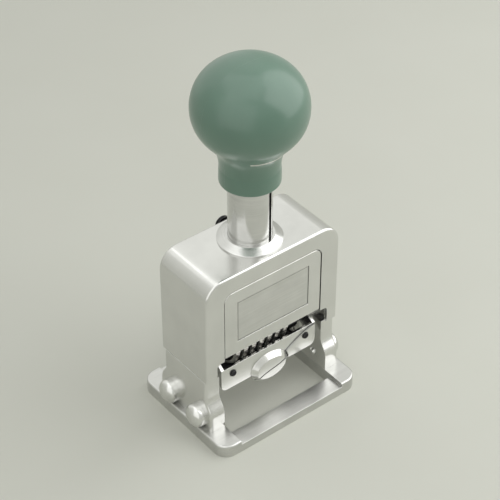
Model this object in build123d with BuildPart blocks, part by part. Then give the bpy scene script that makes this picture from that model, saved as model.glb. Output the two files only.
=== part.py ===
"""Desk numbering machine: a hand plunger drives a head of number wheels down through its base.

X runs left to right, -Y is the front and Z is up. The origin is the centre of the underside of the
base. Everything is in millimetres and stands at rest, with the plunger up.
"""

import os
from math import cos, radians, sin, tan

from build123d import *

os.makedirs("parts", exist_ok=True)

# ---------------------------------------------------------------- clearances
shaft_gap = 0.05  # radial, round shaft in its bore
slide_gap = 0.15  # each side of a sliding piece
side_gap = 0.3  # between a moving piece and the wall beside it
felt_gap = 0.3  # around the soft ink pad
face_gap = 0.4  # around the face plate, in the opening of the housing
rest_gap = 0.5  # above the stem's shoulder, with the plunger up
handle_gap = 2.3  # under the handle, with the plunger down
screw_gap = 0.5  # past the end of a screw, in its hole

# ---------------------------------------------------------------- driving dimensions
stroke = 23.5  # travel of the plunger
wheel_apothem = 9.9  # axle centre to the flats of a number wheel
figure_height = 0.6  # raised figures on those flats
axle_height = stroke + wheel_apothem + figure_height
axle_radius = 2.5

base_width = 71.4
base_depth = 56.0
base_bar = 8.0  # front and rear bars, front to back
base_bar_height = 4.0
base_block_height = 5.8
base_corner = 6.0
base_edge = 0.8

leg_inner = 26.5  # centre line to the inner face of a leg
leg_thickness = 6.8
leg_half_depth = 13.6
leg_flare = 3.4  # how far the foot of a leg spreads, front and rear
leg_flare_start = 12.5
leg_flare_end = 22.0
leg_tenon = 2.0  # depth of the tongue that seats in the base
tenon_thickness = 4.0
leg_edge = 1.2  # rounding of the outer edges
leg_top_edge = 2.4

housing_half_width = 33.4
housing_half_depth = 15.0
housing_bottom = 30.4
housing_height = 49.2
housing_corner = 8.6
housing_edge = 1.0
housing_lip = 0.5  # bevel round the lower edge
housing_wall = 1.2
opening_half_width = 24.6
opening_margin = 7.8  # below the top of the housing
opening_corner = 4.1

bridge_thickness = 5.4
collar_base_radius = 13.2
collar_top_radius = 9.9
collar_height = 2.4
collar_rim = 0.6
collar_spigot = 10.9

stem_radius = 8.8
stem_wall = 2.1
stem_slot = 2.0
stem_slot_angle = 24.0  # slot direction, turned from the front towards the right
key_width = 1.6
key_height = 3.4
key_reach = 13.0
key_cover = 0.4  # below the top of the bridge
seat_thickness = 1.2
seat_hole_radius = 2.5
plug_thickness = 3.0
spring_wire = 1.3
spring_turns = 8
spring_radius = 5.65  # to the middle of the wire
handle_length = 52.2
handle_socket = 10.2  # how far the stem enters the handle
crown_radius = 12.0  # outline of the bulb: a radius, and how far below its top
crown_drop = 2.4
shoulder_bulge = 19.5
shoulder_drop = 9.0
bulb_radius = 22.5
bulb_drop = 20.5
flank_radius = 19.8
flank_drop = 29.0
throat_radius = 16.3
throat_drop = 33.4
neck_radius = 13.0
neck_drop = 38.4
waist_radius = 11.9
waist_drop = 45.0
foot_radius = 12.1
handle_edge = 0.6
index_from = -38.0  # the white mark on the handle, degrees from the front
index_to = 25.5
index_drop = 35.7  # below the handle's top
index_height = 1.0
index_root = 11.0  # radius of its inner face
index_depth = 8.0  # cut off by the handle's own surface

shoulder_radius = 10.6
shoulder_thickness = 1.5
nut_half_width = 10.9
nut_thickness = 3.4
nut_turned_radius = 11.8  # its corners, at the lower face
nut_turned_taper = 8.0

cheek_inner = 20.6
cheek_thickness = 1.8
head_plate = 3.0
head_front = 13.5
head_rear = 11.3
cheek_foot_radius = 8.0

tie_rod_radius = 1.5
tie_rod_front = 9.0
tie_rod_rear = 7.0
tie_rod_drop = 6.6  # below the nut of the stem
rear_plate_thickness = 1.2
rear_plate_drop = 8.0  # its lower edge, below the selector's pin
rear_plate_corner = 1.5
selector_drop = 9.0  # below the top of the head plate
selector_pin_radius = 1.5
detent_bar_gap = 0.9  # behind the face plate
detent_bar_lift = 8.6  # above the axle
detent_bar_depth = 2.4
detent_bar_rise = 3.0

face_lift = 5.5  # its lower edge, above the axle
face_thickness = 1.4
face_edge = 0.35
panel_side_margin = 6.2  # inside the edges of the face plate
panel_margin = 6.0
panel_recess = 0.5
panel_thickness = 0.35

wheel_count = 7
wheel_pitch = 4.09
first_wheel = -14.25  # centre of the leftmost print drum
drum_width = 2.3
ratchet_width = 1.3
ratchet_tip = 8.3
ratchet_root = 6.7
hub_radius = 4.2
counter_left = 12.3  # the repeat ratchet, right of the wheels
counter_right = 18.0
counter_tip = 9.2
counter_root = 8.4
counter_teeth = 30

swing = 130.0  # how far the pad holder turns over the stroke
tray_half_width = 24.3
tray_front = 12.3
tray_wall = 1.1
tray_top = 3.3  # below the axle
tray_bottom = 14.5  # below the axle
tray_corner = 2.8
tray_floor = 1.2
tray_floor_half_width = 20.0
tray_rear = 10.0
tray_lip = 2.1
arm_thickness = 1.4
arm_boss = 4.6
pad_half_width = 17.8
pad_half_depth = 8.0
pad_corner = 1.5
pad_top = 10.8  # below the axle
retainer_thickness = 0.7
retainer_edge = 0.4  # inside the edges of the tray
retainer_lift = 0.2  # above the underside of the tray
retainer_left = 2.0
retainer_land = 2.2  # width of its upper right corner
retainer_high_x = 15.4  # its S-shaped edge: right of the centre, and below the axle
retainer_high_drop = 6.4
retainer_middle_x = 9.2
retainer_middle_drop = 10.0
retainer_low_x = 4.9
retainer_low_drop = 13.1
knob_width = 19.0
knob_height = 14.2
knob_thickness = 2.1
knob_dome = 2.2  # how much smaller its front is, all round
knob_edge = 0.6
knob_drop = 13.5  # below the axle
seam_width = 0.5  # curved seam across the knob, in line with the retainer's edge
seam_depth = 0.45
seam_right_x = 10.6
seam_right_drop = 9.1
seam_middle_x = 1.0
seam_middle_drop = 14.0
seam_low_x = -5.6
seam_low_drop = 15.6
seam_left_x = -10.2
seam_left_drop = 19.0
rivet_radius = 0.9
rivet_head = 1.6
rivet_head_height = 0.7
rivet_taper = 25.0
rivet_x = 18.5
rivet_drop = 7.0  # below the axle
cam_pin_radius = 1.2
cam_pin_orbit = 7.5
nut_radius = 4.05
nut_length = 3.4
nut_rounding = 1.4
cam_pin_bite = 2.0  # how far the cam pins reach past the nuts' groove
axle_recess = 0.8  # how far the ends of the axle stand back in its nuts

yoke_thickness = 1.3
yoke_inner = 18.5
yoke_boss = 4.0
yoke_angle = 176.0  # where the pawl rod stands round the axle at rest
pawl_rod_orbit = 13.4
pawl_rod_radius = 1.2
pawl_sleeve = 2.1
finger_width = 1.0
finger_thickness = 1.2
counter_finger_width = 3.0
detent_thickness = 0.5
detent_seat = 1.0  # how far its springs lie on the bar
detent_angle = 238.5  # where they press, round the axle

lock_travel = 1.2
lock_radius = 2.0
lock_cap_radius = 3.4
lock_cap_thickness = 1.8
lock_edge = 0.7
keyway_depth = 1.2
selector_reach = 7.5
selector_thickness = 1.2
selector_hub = 3.6
selector_tip = 1.6
selector_stud = 1.5
selector_stud_height = 2.4
selector_stud_inset = 1.4  # below the centre of the lever's tip
selector_edge = 0.5
selector_pin_head = 2.5
selector_pin_head_height = 0.8

stud_offset = 9.0  # side studs, in front of and behind the axle
stud_height = 10.9
stud_head = 5.1
stud_reach = 5.2
stud_rim = 1.6
stud_dome_radius = 3.4  # outline of the domed head: a radius, and how far below its top
stud_dome_drop = 0.9
stud_shank = 1.7
stud_tip = 1.0  # how far its end shows inside the leg
stud_tip_radius = 1.0
stud_tip_land = 0.3
screw_shank = 1.4
screw_head = 2.6
screw_cone = 82.0  # included angle of the countersunk heads
base_screw_row = 11.6  # base screws, in front of and behind the axle
base_screw_bite = 2.5  # depth of their holes above the foot of the leg
screw_bite = 6.0  # depth of the rear screws' holes
rear_screw_x = 29.4
rear_screw_inset = 13.6  # from the lower edge and the top of the housing
rear_screw_head = 2.4
rear_screw_head_height = 1.0
rear_screw_edge = 0.4

# ---------------------------------------------------------------- worked-out places
leg_outer = leg_inner + leg_thickness
leg_middle = leg_inner + leg_thickness / 2
window_half_depth = base_depth / 2 - base_bar
housing_top = housing_bottom + housing_height
housing_inner = housing_half_width - housing_wall
opening_top = housing_top - opening_margin
bridge_top = housing_top - housing_wall
bridge_bottom = bridge_top - bridge_thickness
handle_bottom = housing_top + collar_height + stroke + handle_gap
handle_top = handle_bottom + handle_length
stem_bore = stem_radius - stem_wall
stem_top = handle_bottom + handle_socket
key_bottom = bridge_top - key_height - key_cover
key_top = key_bottom + key_height
seat_top = key_top + seat_thickness
plug_bottom = stem_top - plug_thickness
cheek_outer = cheek_inner + cheek_thickness
arm_outer = tray_half_width
arm_inner = arm_outer - arm_thickness
nut_inner = arm_outer + side_gap
nut_outer = nut_inner + nut_length
axle_reach = nut_outer - axle_recess
groove_bottom = nut_outer + side_gap
pocket_top = axle_height + nut_radius + side_gap
cam_pin_tip = groove_bottom + cam_pin_bite
cam_groove_bottom = cam_pin_tip + side_gap
cam_start = -swing / 2
head_plate_top = bridge_bottom - rest_gap - shoulder_thickness
head_plate_bottom = head_plate_top - head_plate
tie_rod_height = head_plate_bottom - nut_thickness - tie_rod_drop
selector_height = head_plate_top - selector_drop
cheek_shoulder = selector_height - rear_plate_drop
detent_bar_front = detent_bar_gap - head_front
detent_bar_height = axle_height + detent_bar_lift
face_half_width = opening_half_width - face_gap
face_top = opening_top - face_gap
face_bottom = axle_height + face_lift
face_corner = opening_corner - face_gap
panel_half_width = face_half_width - panel_side_margin
panel_bottom = face_bottom + panel_margin
panel_top = face_top - panel_margin
tray_back = tray_front - tray_wall
retainer_front = tray_front + retainer_thickness
cone_depth = (screw_head - screw_shank) / tan(radians(screw_cone / 2))
base_screw_top = base_block_height + base_screw_bite - screw_gap
lock_height = (bridge_top + bridge_bottom) / 2
rear_screw_rows = (housing_bottom + rear_screw_inset, housing_top - rear_screw_inset)
rear_screw_places = [(rear_screw_x, row) for row in rear_screw_rows]
mirrored_screw_places = [(-rear_screw_x, row) for row in rear_screw_rows]
pad_rivet_places = [(rivet_x, axle_height - rivet_drop), (-rivet_x, axle_height - rivet_drop)]
tie_rod_places = [(-tie_rod_front, tie_rod_height), (tie_rod_rear, tie_rod_height)]
slot_direction = (sin(radians(stem_slot_angle)), -cos(radians(stem_slot_angle)), 0)


def save(piece, name):
    """Label a finished piece and write it to its own file."""
    piece.part.label = name
    export_step(piece.part, f"parts/{name}.step")


def radial_plane(angle):
    """Upright plane through the centre line, its X outward at an angle from the front to the right."""
    outward = (sin(radians(angle)), -cos(radians(angle)), 0)
    return Plane(origin=(0, 0, 0), x_dir=outward, z_dir=(outward[1], -outward[0], 0))


def orbit(radius, angle, drop=0.0):
    """Side-view point (y, z) at a radius from the axle; 0 degrees points down, 90 to the rear."""
    return (radius * sin(radians(angle)), axle_height - drop - radius * cos(radians(angle)))


# ================================================================ fixed frame
with BuildPart() as base_frame:
    with BuildSketch(Plane.XY):
        RectangleRounded(base_width, base_depth, base_corner)
    extrude(amount=base_block_height)
    fillet(base_frame.faces().sort_by(Axis.Z)[-1].edges(), base_edge)
    with BuildSketch(Plane.XY):
        Rectangle(2 * leg_inner, 2 * window_half_depth)
    extrude(amount=base_block_height, mode=Mode.SUBTRACT)
    with BuildSketch(Plane.XY.offset(base_bar_height)):
        Rectangle(2 * leg_inner, base_depth)
    extrude(amount=base_block_height, mode=Mode.SUBTRACT)
    with BuildSketch(Plane.XY.offset(base_block_height - leg_tenon)):
        with Locations((leg_middle, 0), (-leg_middle, 0)):
            Rectangle(tenon_thickness, 2 * leg_half_depth)
    extrude(amount=leg_tenon, mode=Mode.SUBTRACT)
    with Locations(Plane.XY.rotated((180, 0, 0))):
        with GridLocations(2 * leg_middle, 2 * base_screw_row, 2, 2):
            CounterSinkHole(screw_shank + shaft_gap, screw_head + shaft_gap)
save(base_frame, "base_frame")

with BuildPart() as right_side_frame:
    foot_half_depth = leg_half_depth + leg_flare
    with BuildSketch(Plane.YZ.offset(leg_inner)):
        with BuildLine():
            Line((-foot_half_depth, leg_flare_start), (-foot_half_depth, base_block_height))
            Line((-foot_half_depth, base_block_height), (foot_half_depth, base_block_height))
            Line((foot_half_depth, base_block_height), (foot_half_depth, leg_flare_start))
            Spline(
                (foot_half_depth, leg_flare_start),
                (leg_half_depth, leg_flare_end),
                tangents=((0, 1), (0, 1)),
            )
            Line((leg_half_depth, leg_flare_end), (leg_half_depth, bridge_bottom))
            Line((leg_half_depth, bridge_bottom), (-leg_half_depth, bridge_bottom))
            Line((-leg_half_depth, bridge_bottom), (-leg_half_depth, leg_flare_end))
            Spline(
                (-leg_half_depth, leg_flare_end),
                (-foot_half_depth, leg_flare_start),
                tangents=((0, -1), (0, -1)),
            )
        make_face()
    extrude(amount=leg_thickness)
    outer_edges = right_side_frame.faces().sort_by(Axis.X)[-1].edges()
    fillet(outer_edges.sort_by(Axis.Z)[1:-1], leg_edge)
    with BuildSketch(Plane.XZ.offset(foot_half_depth)):
        with Locations((housing_inner - shaft_gap, housing_bottom)):
            Rectangle(leg_thickness, housing_top, align=(Align.MIN, Align.MIN))
    extrude(amount=-2 * foot_half_depth, mode=Mode.SUBTRACT)
    top_edges = right_side_frame.edges().filter_by(Axis.Y).group_by(Axis.Z)[-1]
    fillet(top_edges.sort_by(Axis.X)[-1], leg_top_edge)
    with BuildSketch(Plane.XY.offset(base_block_height)):
        with Locations((leg_middle, 0)):
            Rectangle(tenon_thickness - 2 * slide_gap, 2 * (leg_half_depth - slide_gap))
    extrude(amount=-leg_tenon)
    # Guide groove for the axle nut, with a pocket that lets the nut show at the front.
    with BuildSketch(Plane.YZ.offset(leg_inner)):
        with Locations((0, axle_height - stroke / 2)):
            SlotCenterToCenter(stroke, 2 * (nut_radius + slide_gap), rotation=90)
        with Locations((0, housing_bottom)):
            Rectangle(
                2 * leg_half_depth, pocket_top - housing_bottom, align=(Align.CENTER, Align.MIN)
            )
    extrude(amount=groove_bottom - leg_inner, mode=Mode.SUBTRACT)
    # Cam groove: the path of the pad holder's pin as the axle sinks and the holder turns.
    cam_path = [
        orbit(cam_pin_orbit, cam_start + swing * step / 12, stroke * step / 12)
        for step in range(13)
    ]
    cam_half_width = cam_pin_radius + slide_gap
    with BuildSketch(Plane.YZ.offset(leg_inner)):
        with BuildLine():
            Spline(*cam_path)
        trace(line_width=2 * cam_half_width)
        with Locations(cam_path[0], cam_path[-1]):
            Circle(cam_half_width)
    extrude(amount=cam_groove_bottom - leg_inner, mode=Mode.SUBTRACT)
    with BuildSketch(Plane.YZ.offset(leg_inner)):
        with Locations((-stud_offset, stud_height), (stud_offset, stud_height)):
            Circle(stud_shank + shaft_gap)
    extrude(amount=leg_thickness, mode=Mode.SUBTRACT)
    with BuildSketch(Plane.XY.offset(base_block_height - leg_tenon)):
        with Locations((leg_middle, 0)):
            with GridLocations(0, 2 * base_screw_row, 1, 2):
                Circle(screw_shank + shaft_gap)
    extrude(amount=leg_tenon + base_screw_bite, mode=Mode.SUBTRACT)
    with BuildSketch(Plane.XZ.offset(-leg_half_depth)):
        with Locations(*rear_screw_places):
            Circle(screw_shank + shaft_gap)
    extrude(amount=screw_bite, mode=Mode.SUBTRACT)
save(right_side_frame, "right_side_frame")

with BuildPart() as left_side_frame:
    mirror(right_side_frame.part, about=Plane.YZ)
save(left_side_frame, "left_side_frame")

with BuildPart() as housing_shell:
    with BuildSketch(Plane.XZ.offset(housing_half_depth)):
        with Locations((0, housing_bottom)):
            outline = Rectangle(
                2 * housing_half_width, housing_height, align=(Align.CENTER, Align.MIN)
            )
        fillet(outline.vertices().group_by(Axis.Y)[-1], housing_corner)
    extrude(amount=-2 * housing_half_depth)
    rims = housing_shell.faces().filter_by(Axis.Y).edges()
    fillet(rims.filter_by(lambda edge: edge.center().Z > housing_bottom + 1), housing_edge)
    chamfer(housing_shell.faces().sort_by(Axis.Z)[0].edges(), housing_lip)
    with BuildSketch(Plane.XZ.offset(housing_half_depth - housing_wall)):
        with Locations((0, housing_bottom - 1)):
            cavity = Rectangle(
                2 * housing_inner, bridge_top - housing_bottom + 1, align=(Align.CENTER, Align.MIN)
            )
        fillet(cavity.vertices().group_by(Axis.Y)[-1], housing_corner - housing_wall)
    extrude(amount=-2 * (housing_half_depth - housing_wall), mode=Mode.SUBTRACT)
    with BuildSketch(Plane.XZ.offset(housing_half_depth)):
        with Locations((0, housing_bottom - 1)):
            opening = Rectangle(
                2 * opening_half_width,
                opening_top - housing_bottom + 1,
                align=(Align.CENTER, Align.MIN),
            )
        fillet(opening.vertices().group_by(Axis.Y)[-1], opening_corner)
    extrude(amount=-2 * housing_half_depth, mode=Mode.SUBTRACT)
    # Notches that show the rounded nuts of the axle at the front and rear.
    with BuildSketch(Plane.XZ.offset(housing_half_depth)):
        with Locations((0, housing_bottom - 1)):
            notch = Rectangle(
                2 * groove_bottom, pocket_top - housing_bottom + 1, align=(Align.CENTER, Align.MIN)
            )
        fillet(notch.vertices().group_by(Axis.Y)[-1], nut_rounding + side_gap)
    extrude(amount=-2 * housing_half_depth, mode=Mode.SUBTRACT)
    with BuildSketch(Plane.XY.offset(bridge_top)):
        Circle(collar_spigot + shaft_gap)
    extrude(amount=housing_wall, mode=Mode.SUBTRACT)
    with BuildSketch(Plane.XZ.offset(-housing_half_depth)):
        with Locations(*rear_screw_places, *mirrored_screw_places):
            Circle(screw_shank + shaft_gap)
        with Locations((0, lock_height)):
            Circle(lock_radius + shaft_gap)
    extrude(amount=housing_wall, mode=Mode.SUBTRACT)
save(housing_shell, "housing_shell")

with BuildPart() as top_bridge:
    with BuildSketch(Plane.XZ.offset(leg_half_depth)):
        with Locations((0, bridge_top)):
            bridge_section = Rectangle(
                2 * (housing_inner - slide_gap),
                housing_corner + bridge_thickness,
                align=(Align.CENTER, Align.MAX),
            )
        fillet(bridge_section.vertices().group_by(Axis.Y)[-1], housing_corner - housing_wall)
        with Locations((0, bridge_bottom)):
            Rectangle(
                2 * housing_half_width,
                housing_corner,
                align=(Align.CENTER, Align.MAX),
                mode=Mode.SUBTRACT,
            )
    extrude(amount=-2 * leg_half_depth)
    with BuildSketch(Plane.XY.offset(bridge_bottom)):
        Circle(stem_radius + shaft_gap)
    extrude(amount=bridge_thickness, mode=Mode.SUBTRACT)
    with BuildSketch(Plane(origin=(0, 0, key_bottom), x_dir=slot_direction, z_dir=(0, 0, 1))):
        Rectangle(2 * (key_reach + slide_gap), key_width + 2 * shaft_gap)
    extrude(amount=bridge_thickness, mode=Mode.SUBTRACT)
    with BuildSketch(Plane.XZ.offset(-leg_half_depth)):
        with Locations((0, lock_height)):
            Circle(lock_radius + shaft_gap)
    extrude(amount=leg_half_depth, mode=Mode.SUBTRACT)
save(top_bridge, "top_bridge")

with BuildPart() as guide_collar:
    with BuildSketch(Plane.XZ):
        with BuildLine():
            Polyline(
                (stem_radius + shaft_gap, bridge_top),
                (collar_spigot, bridge_top),
                (collar_spigot, housing_top),
                (collar_base_radius, housing_top),
                (collar_base_radius, housing_top + collar_rim),
                (collar_top_radius, housing_top + collar_height),
                (stem_radius + shaft_gap, housing_top + collar_height),
                close=True,
            )
        make_face()
    revolve(axis=Axis.Z)
save(guide_collar, "guide_collar")

with BuildPart() as cross_key:
    with BuildSketch(Plane(origin=(0, 0, key_bottom), x_dir=slot_direction, z_dir=(0, 0, 1))):
        Rectangle(2 * key_reach, key_width)
    extrude(amount=key_height)
save(cross_key, "cross_key")

with BuildPart() as spring_seat:
    with BuildSketch(Plane.XY.offset(key_top)):
        Circle(stem_bore - slide_gap)
        Circle(seat_hole_radius, mode=Mode.SUBTRACT)
    extrude(amount=seat_thickness)
save(spring_seat, "spring_seat")

with BuildPart() as side_studs:
    with BuildSketch(Plane.XY.offset(stud_height)):
        with Locations((0, -stud_offset)):
            with BuildLine():
                Polyline(
                    (leg_inner - stud_tip, -stud_offset),
                    (leg_inner - stud_tip, -stud_offset - stud_tip_radius),
                    (leg_inner - stud_tip_land, -stud_offset - stud_shank),
                    (leg_outer, -stud_offset - stud_shank),
                    (leg_outer, -stud_offset - stud_head),
                    (leg_outer + stud_rim, -stud_offset - stud_head),
                )
                Spline(
                    (leg_outer + stud_rim, -stud_offset - stud_head),
                    (leg_outer + stud_reach - stud_dome_drop, -stud_offset - stud_dome_radius),
                    (leg_outer + stud_reach, -stud_offset),
                    tangents=((1, 0), (0, 1)),
                )
                Line((leg_outer + stud_reach, -stud_offset), (leg_inner - stud_tip, -stud_offset))
            make_face()
    revolve(axis=Axis((0, -stud_offset, stud_height), (1, 0, 0)))
    mirror(about=Plane.YZ)
    mirror(about=Plane.XZ)
save(side_studs, "side_studs")

# ================================================================ plunger and head
with BuildPart() as handle_form:
    with BuildSketch(Plane.XZ):
        with BuildLine():
            Line((0, handle_bottom), (0, handle_top))
            Spline(
                (0, handle_top),
                (crown_radius, handle_top - crown_drop),
                (shoulder_bulge, handle_top - shoulder_drop),
                (bulb_radius, handle_top - bulb_drop),
                (flank_radius, handle_top - flank_drop),
                (throat_radius, handle_top - throat_drop),
                (neck_radius, handle_top - neck_drop),
                (waist_radius, handle_top - waist_drop),
                (foot_radius, handle_bottom),
                tangents=((1, 0), (0, -1)),
            )
            Line((foot_radius, handle_bottom), (0, handle_bottom))
        make_face()
    revolve(axis=Axis.Z)
    fillet(handle_form.edges().group_by(Axis.Z)[0], handle_edge)

with BuildPart() as handle_index:
    add(handle_form.part)
    with BuildSketch(radial_plane(index_from)):
        with Locations((index_root, handle_top - index_drop)):
            Rectangle(index_depth, index_height, align=(Align.MIN, Align.CENTER))
    revolve(axis=Axis.Z, revolution_arc=index_to - index_from, mode=Mode.INTERSECT)
save(handle_index, "handle_index")

with BuildPart() as handle:
    add(handle_form.part)
    add(handle_index.part, mode=Mode.SUBTRACT)
    with BuildSketch(Plane.XY.offset(handle_bottom)):
        Circle(stem_radius + shaft_gap)
    extrude(amount=handle_socket, mode=Mode.SUBTRACT)
save(handle, "handle")

with BuildPart() as stem:
    with BuildSketch(Plane.XY.offset(head_plate_bottom)):
        Circle(stem_radius)
        Circle(stem_bore, mode=Mode.SUBTRACT)
    extrude(amount=stem_top - head_plate_bottom)
    with BuildSketch(Plane(origin=(0, 0, key_bottom), x_dir=slot_direction, z_dir=(0, 0, 1))):
        with Locations((0, 0)):
            Rectangle(4 * stem_radius, stem_slot)
    extrude(amount=handle_bottom + handle_edge - key_bottom, mode=Mode.SUBTRACT)
    with BuildSketch(Plane.XY.offset(head_plate_top)):
        Circle(shoulder_radius)
        Circle(stem_bore, mode=Mode.SUBTRACT)
    extrude(amount=shoulder_thickness)
    # Keyway down the back, which the tip of the lock button enters.
    with BuildSketch(Plane.XZ.offset(keyway_depth - stem_radius)):
        with Locations((0, lock_height + stroke / 2)):
            SlotCenterToCenter(stroke, 2 * (lock_radius + slide_gap), rotation=90)
    extrude(amount=-stem_radius, mode=Mode.SUBTRACT)
save(stem, "stem")

with BuildPart() as stem_nut:
    with BuildSketch(Plane.XY.offset(head_plate_bottom - nut_thickness)):
        RegularPolygon(nut_half_width, 6, major_radius=False)
        Circle(stem_radius + shaft_gap, mode=Mode.SUBTRACT)
    extrude(amount=nut_thickness)
    with BuildSketch(Plane.XY.offset(head_plate_bottom - nut_thickness)):
        Circle(nut_turned_radius)
    extrude(amount=nut_thickness, taper=-nut_turned_taper, mode=Mode.INTERSECT)
save(stem_nut, "stem_nut")

with BuildPart() as spring_plug:
    with BuildSketch(Plane.XY.offset(plug_bottom)):
        Circle(stem_bore - shaft_gap)
    extrude(amount=plug_thickness)
    with BuildSketch(Plane.XY.offset(plug_bottom)):
        Circle(spring_radius - spring_wire / 2 - slide_gap)
    extrude(amount=-plug_thickness)
save(spring_plug, "spring_plug")

with BuildPart() as return_spring:
    spring_length = plug_bottom - seat_top
    with BuildLine() as coil:
        Helix(
            pitch=(spring_length - spring_wire) / spring_turns,
            height=spring_length - spring_wire,
            radius=spring_radius,
            center=(0, 0, seat_top + spring_wire / 2),
        )
    with BuildSketch(Plane(origin=coil.line @ 0, z_dir=coil.line % 0)):
        RegularPolygon(spring_wire / 2, 8)
    sweep(is_frenet=True)
    with BuildSketch(Plane.XY.offset(seat_top - spring_wire)):
        Circle(stem_bore)
    extrude(amount=spring_wire, mode=Mode.SUBTRACT)
save(return_spring, "return_spring")

with BuildPart() as head_frame:
    with BuildSketch(Plane.XZ.offset(head_front)):
        with Locations((0, head_plate_top)):
            Rectangle(2 * cheek_outer, head_plate_top, align=(Align.CENTER, Align.MAX))
        with Locations((0, head_plate_bottom)):
            Rectangle(
                2 * cheek_inner, head_plate_top, align=(Align.CENTER, Align.MAX), mode=Mode.SUBTRACT
            )
    extrude(amount=-(head_front + head_rear))
    with BuildSketch(Plane.YZ.offset(-cheek_outer)):
        with Locations((0, axle_height)):
            Circle(cheek_foot_radius)
        with Locations((-head_front, cheek_shoulder)):
            Rectangle(
                head_front + head_rear, head_plate_top - cheek_shoulder, align=(Align.MIN, Align.MIN)
            )
        make_hull()
    extrude(amount=2 * cheek_outer, mode=Mode.INTERSECT)
    with BuildSketch(Plane.YZ.offset(-cheek_outer)):
        with Locations((0, axle_height)):
            Circle(axle_radius + shaft_gap)
        with Locations(*tie_rod_places):
            Circle(tie_rod_radius + shaft_gap)
    extrude(amount=2 * cheek_outer, mode=Mode.SUBTRACT)
    with BuildSketch(Plane.XY.offset(head_plate_bottom)):
        Circle(stem_radius + shaft_gap)
    extrude(amount=head_plate, mode=Mode.SUBTRACT)
save(head_frame, "head_frame")

with BuildPart() as tie_rods:
    with BuildSketch(Plane.YZ.offset(-cheek_outer)):
        with Locations(*tie_rod_places):
            Circle(tie_rod_radius)
    extrude(amount=2 * cheek_outer)
save(tie_rods, "tie_rods")

with BuildPart() as face_plate:
    with BuildSketch(Plane.XZ.offset(head_front)):
        with Locations((0, face_bottom)):
            plate = Rectangle(
                2 * face_half_width, face_top - face_bottom, align=(Align.CENTER, Align.MIN)
            )
        fillet(plate.vertices().group_by(Axis.Y)[-1], face_corner)
    extrude(amount=face_thickness)
    fillet(face_plate.faces().sort_by(Axis.Y)[0].edges(), face_edge)
    with BuildSketch(Plane.XZ.offset(head_front + face_thickness)):
        with Locations((0, (panel_bottom + panel_top) / 2)):
            Rectangle(2 * panel_half_width, panel_top - panel_bottom)
    extrude(amount=-panel_recess, mode=Mode.SUBTRACT)
save(face_plate, "face_plate")

with BuildPart() as name_panel:
    with BuildSketch(Plane.XZ.offset(head_front + face_thickness - panel_recess)):
        with Locations((0, (panel_bottom + panel_top) / 2)):
            Rectangle(
                2 * (panel_half_width - slide_gap), panel_top - panel_bottom - 2 * slide_gap
            )
    extrude(amount=panel_thickness)
save(name_panel, "name_panel")

with BuildPart() as rear_plate:
    with BuildSketch(Plane.XZ.offset(-head_rear - rear_plate_thickness)):
        with Locations((0, cheek_shoulder)):
            back = Rectangle(
                2 * cheek_outer, head_plate_top - cheek_shoulder, align=(Align.CENTER, Align.MIN)
            )
        fillet(back.vertices(), rear_plate_corner)
    extrude(amount=rear_plate_thickness)
    with BuildSketch(Plane.XZ.offset(-head_rear - rear_plate_thickness)):
        with Locations((0, selector_height)):
            Circle(selector_pin_radius + shaft_gap)
    extrude(amount=rear_plate_thickness, mode=Mode.SUBTRACT)
save(rear_plate, "rear_plate")

with BuildPart() as wheel_axle:
    with BuildSketch(Plane.YZ.offset(-axle_reach)):
        with Locations((0, axle_height)):
            Circle(axle_radius)
    extrude(amount=2 * axle_reach)
save(wheel_axle, "wheel_axle")

with BuildPart() as axle_nuts:
    with BuildSketch(Plane.YZ.offset(nut_inner)):
        with Locations((0, axle_height)):
            Circle(nut_radius)
    extrude(amount=nut_outer - nut_inner)
    fillet(axle_nuts.faces().sort_by(Axis.X)[-1].edges(), nut_rounding)
    with BuildSketch(Plane.YZ.offset(nut_inner)):
        with Locations((0, axle_height)):
            Circle(axle_radius + shaft_gap)
    extrude(amount=axle_reach + shaft_gap - nut_inner, mode=Mode.SUBTRACT)
    mirror(about=Plane.YZ)
save(axle_nuts, "axle_nuts")

with BuildPart() as detent_bar:
    with BuildSketch(Plane.YZ.offset(-cheek_inner)):
        with Locations((detent_bar_front, detent_bar_height)):
            Rectangle(detent_bar_depth, detent_bar_rise, align=(Align.MIN, Align.MIN))
    extrude(amount=2 * cheek_inner)
save(detent_bar, "detent_bar")


def saw_ring(teeth, tip, root):
    """Corner points of a saw-toothed ring, tooth by tooth, its steep flanks along the radii."""
    corners = []
    for tooth in range(teeth):
        angle = radians(360 / teeth * tooth)
        corners.append((tip * cos(angle), tip * sin(angle)))
        corners.append((root * cos(angle), root * sin(angle)))
    return corners


# ================================================================ wheels
drum_centres = [first_wheel + wheel_pitch * index for index in range(wheel_count)]
for index, centre in enumerate(drum_centres, start=1):
    drum_left = centre - drum_width / 2
    with BuildPart() as number_wheel:
        with BuildSketch(Plane.YZ.offset(drum_left)):
            with Locations((0, axle_height)):
                RegularPolygon(wheel_apothem, 10, major_radius=False)
        extrude(amount=drum_width)
        with BuildSketch(Plane.YZ.offset(drum_left - ratchet_width)):
            with Locations((0, axle_height)):
                Polygon(*saw_ring(10, ratchet_tip, ratchet_root), align=None)
        extrude(amount=ratchet_width)
        with BuildSketch(Plane.YZ.offset(drum_left - ratchet_width)):
            with Locations((0, axle_height)):
                Circle(hub_radius)
        extrude(amount=wheel_pitch - 2 * shaft_gap)
        with BuildSketch(Plane.YZ.offset(drum_left - ratchet_width)):
            with Locations((0, axle_height)):
                Circle(axle_radius + shaft_gap)
        extrude(amount=wheel_pitch, mode=Mode.SUBTRACT)
    save(number_wheel, f"number_wheel_{index}")

with BuildPart() as repeat_ratchet:
    with BuildSketch(Plane.YZ.offset(counter_left)):
        with Locations((0, axle_height)):
            Polygon(*saw_ring(counter_teeth, counter_tip, counter_root), align=None)
            Circle(axle_radius + shaft_gap, mode=Mode.SUBTRACT)
    extrude(amount=counter_right - counter_left)
save(repeat_ratchet, "repeat_ratchet")

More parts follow.
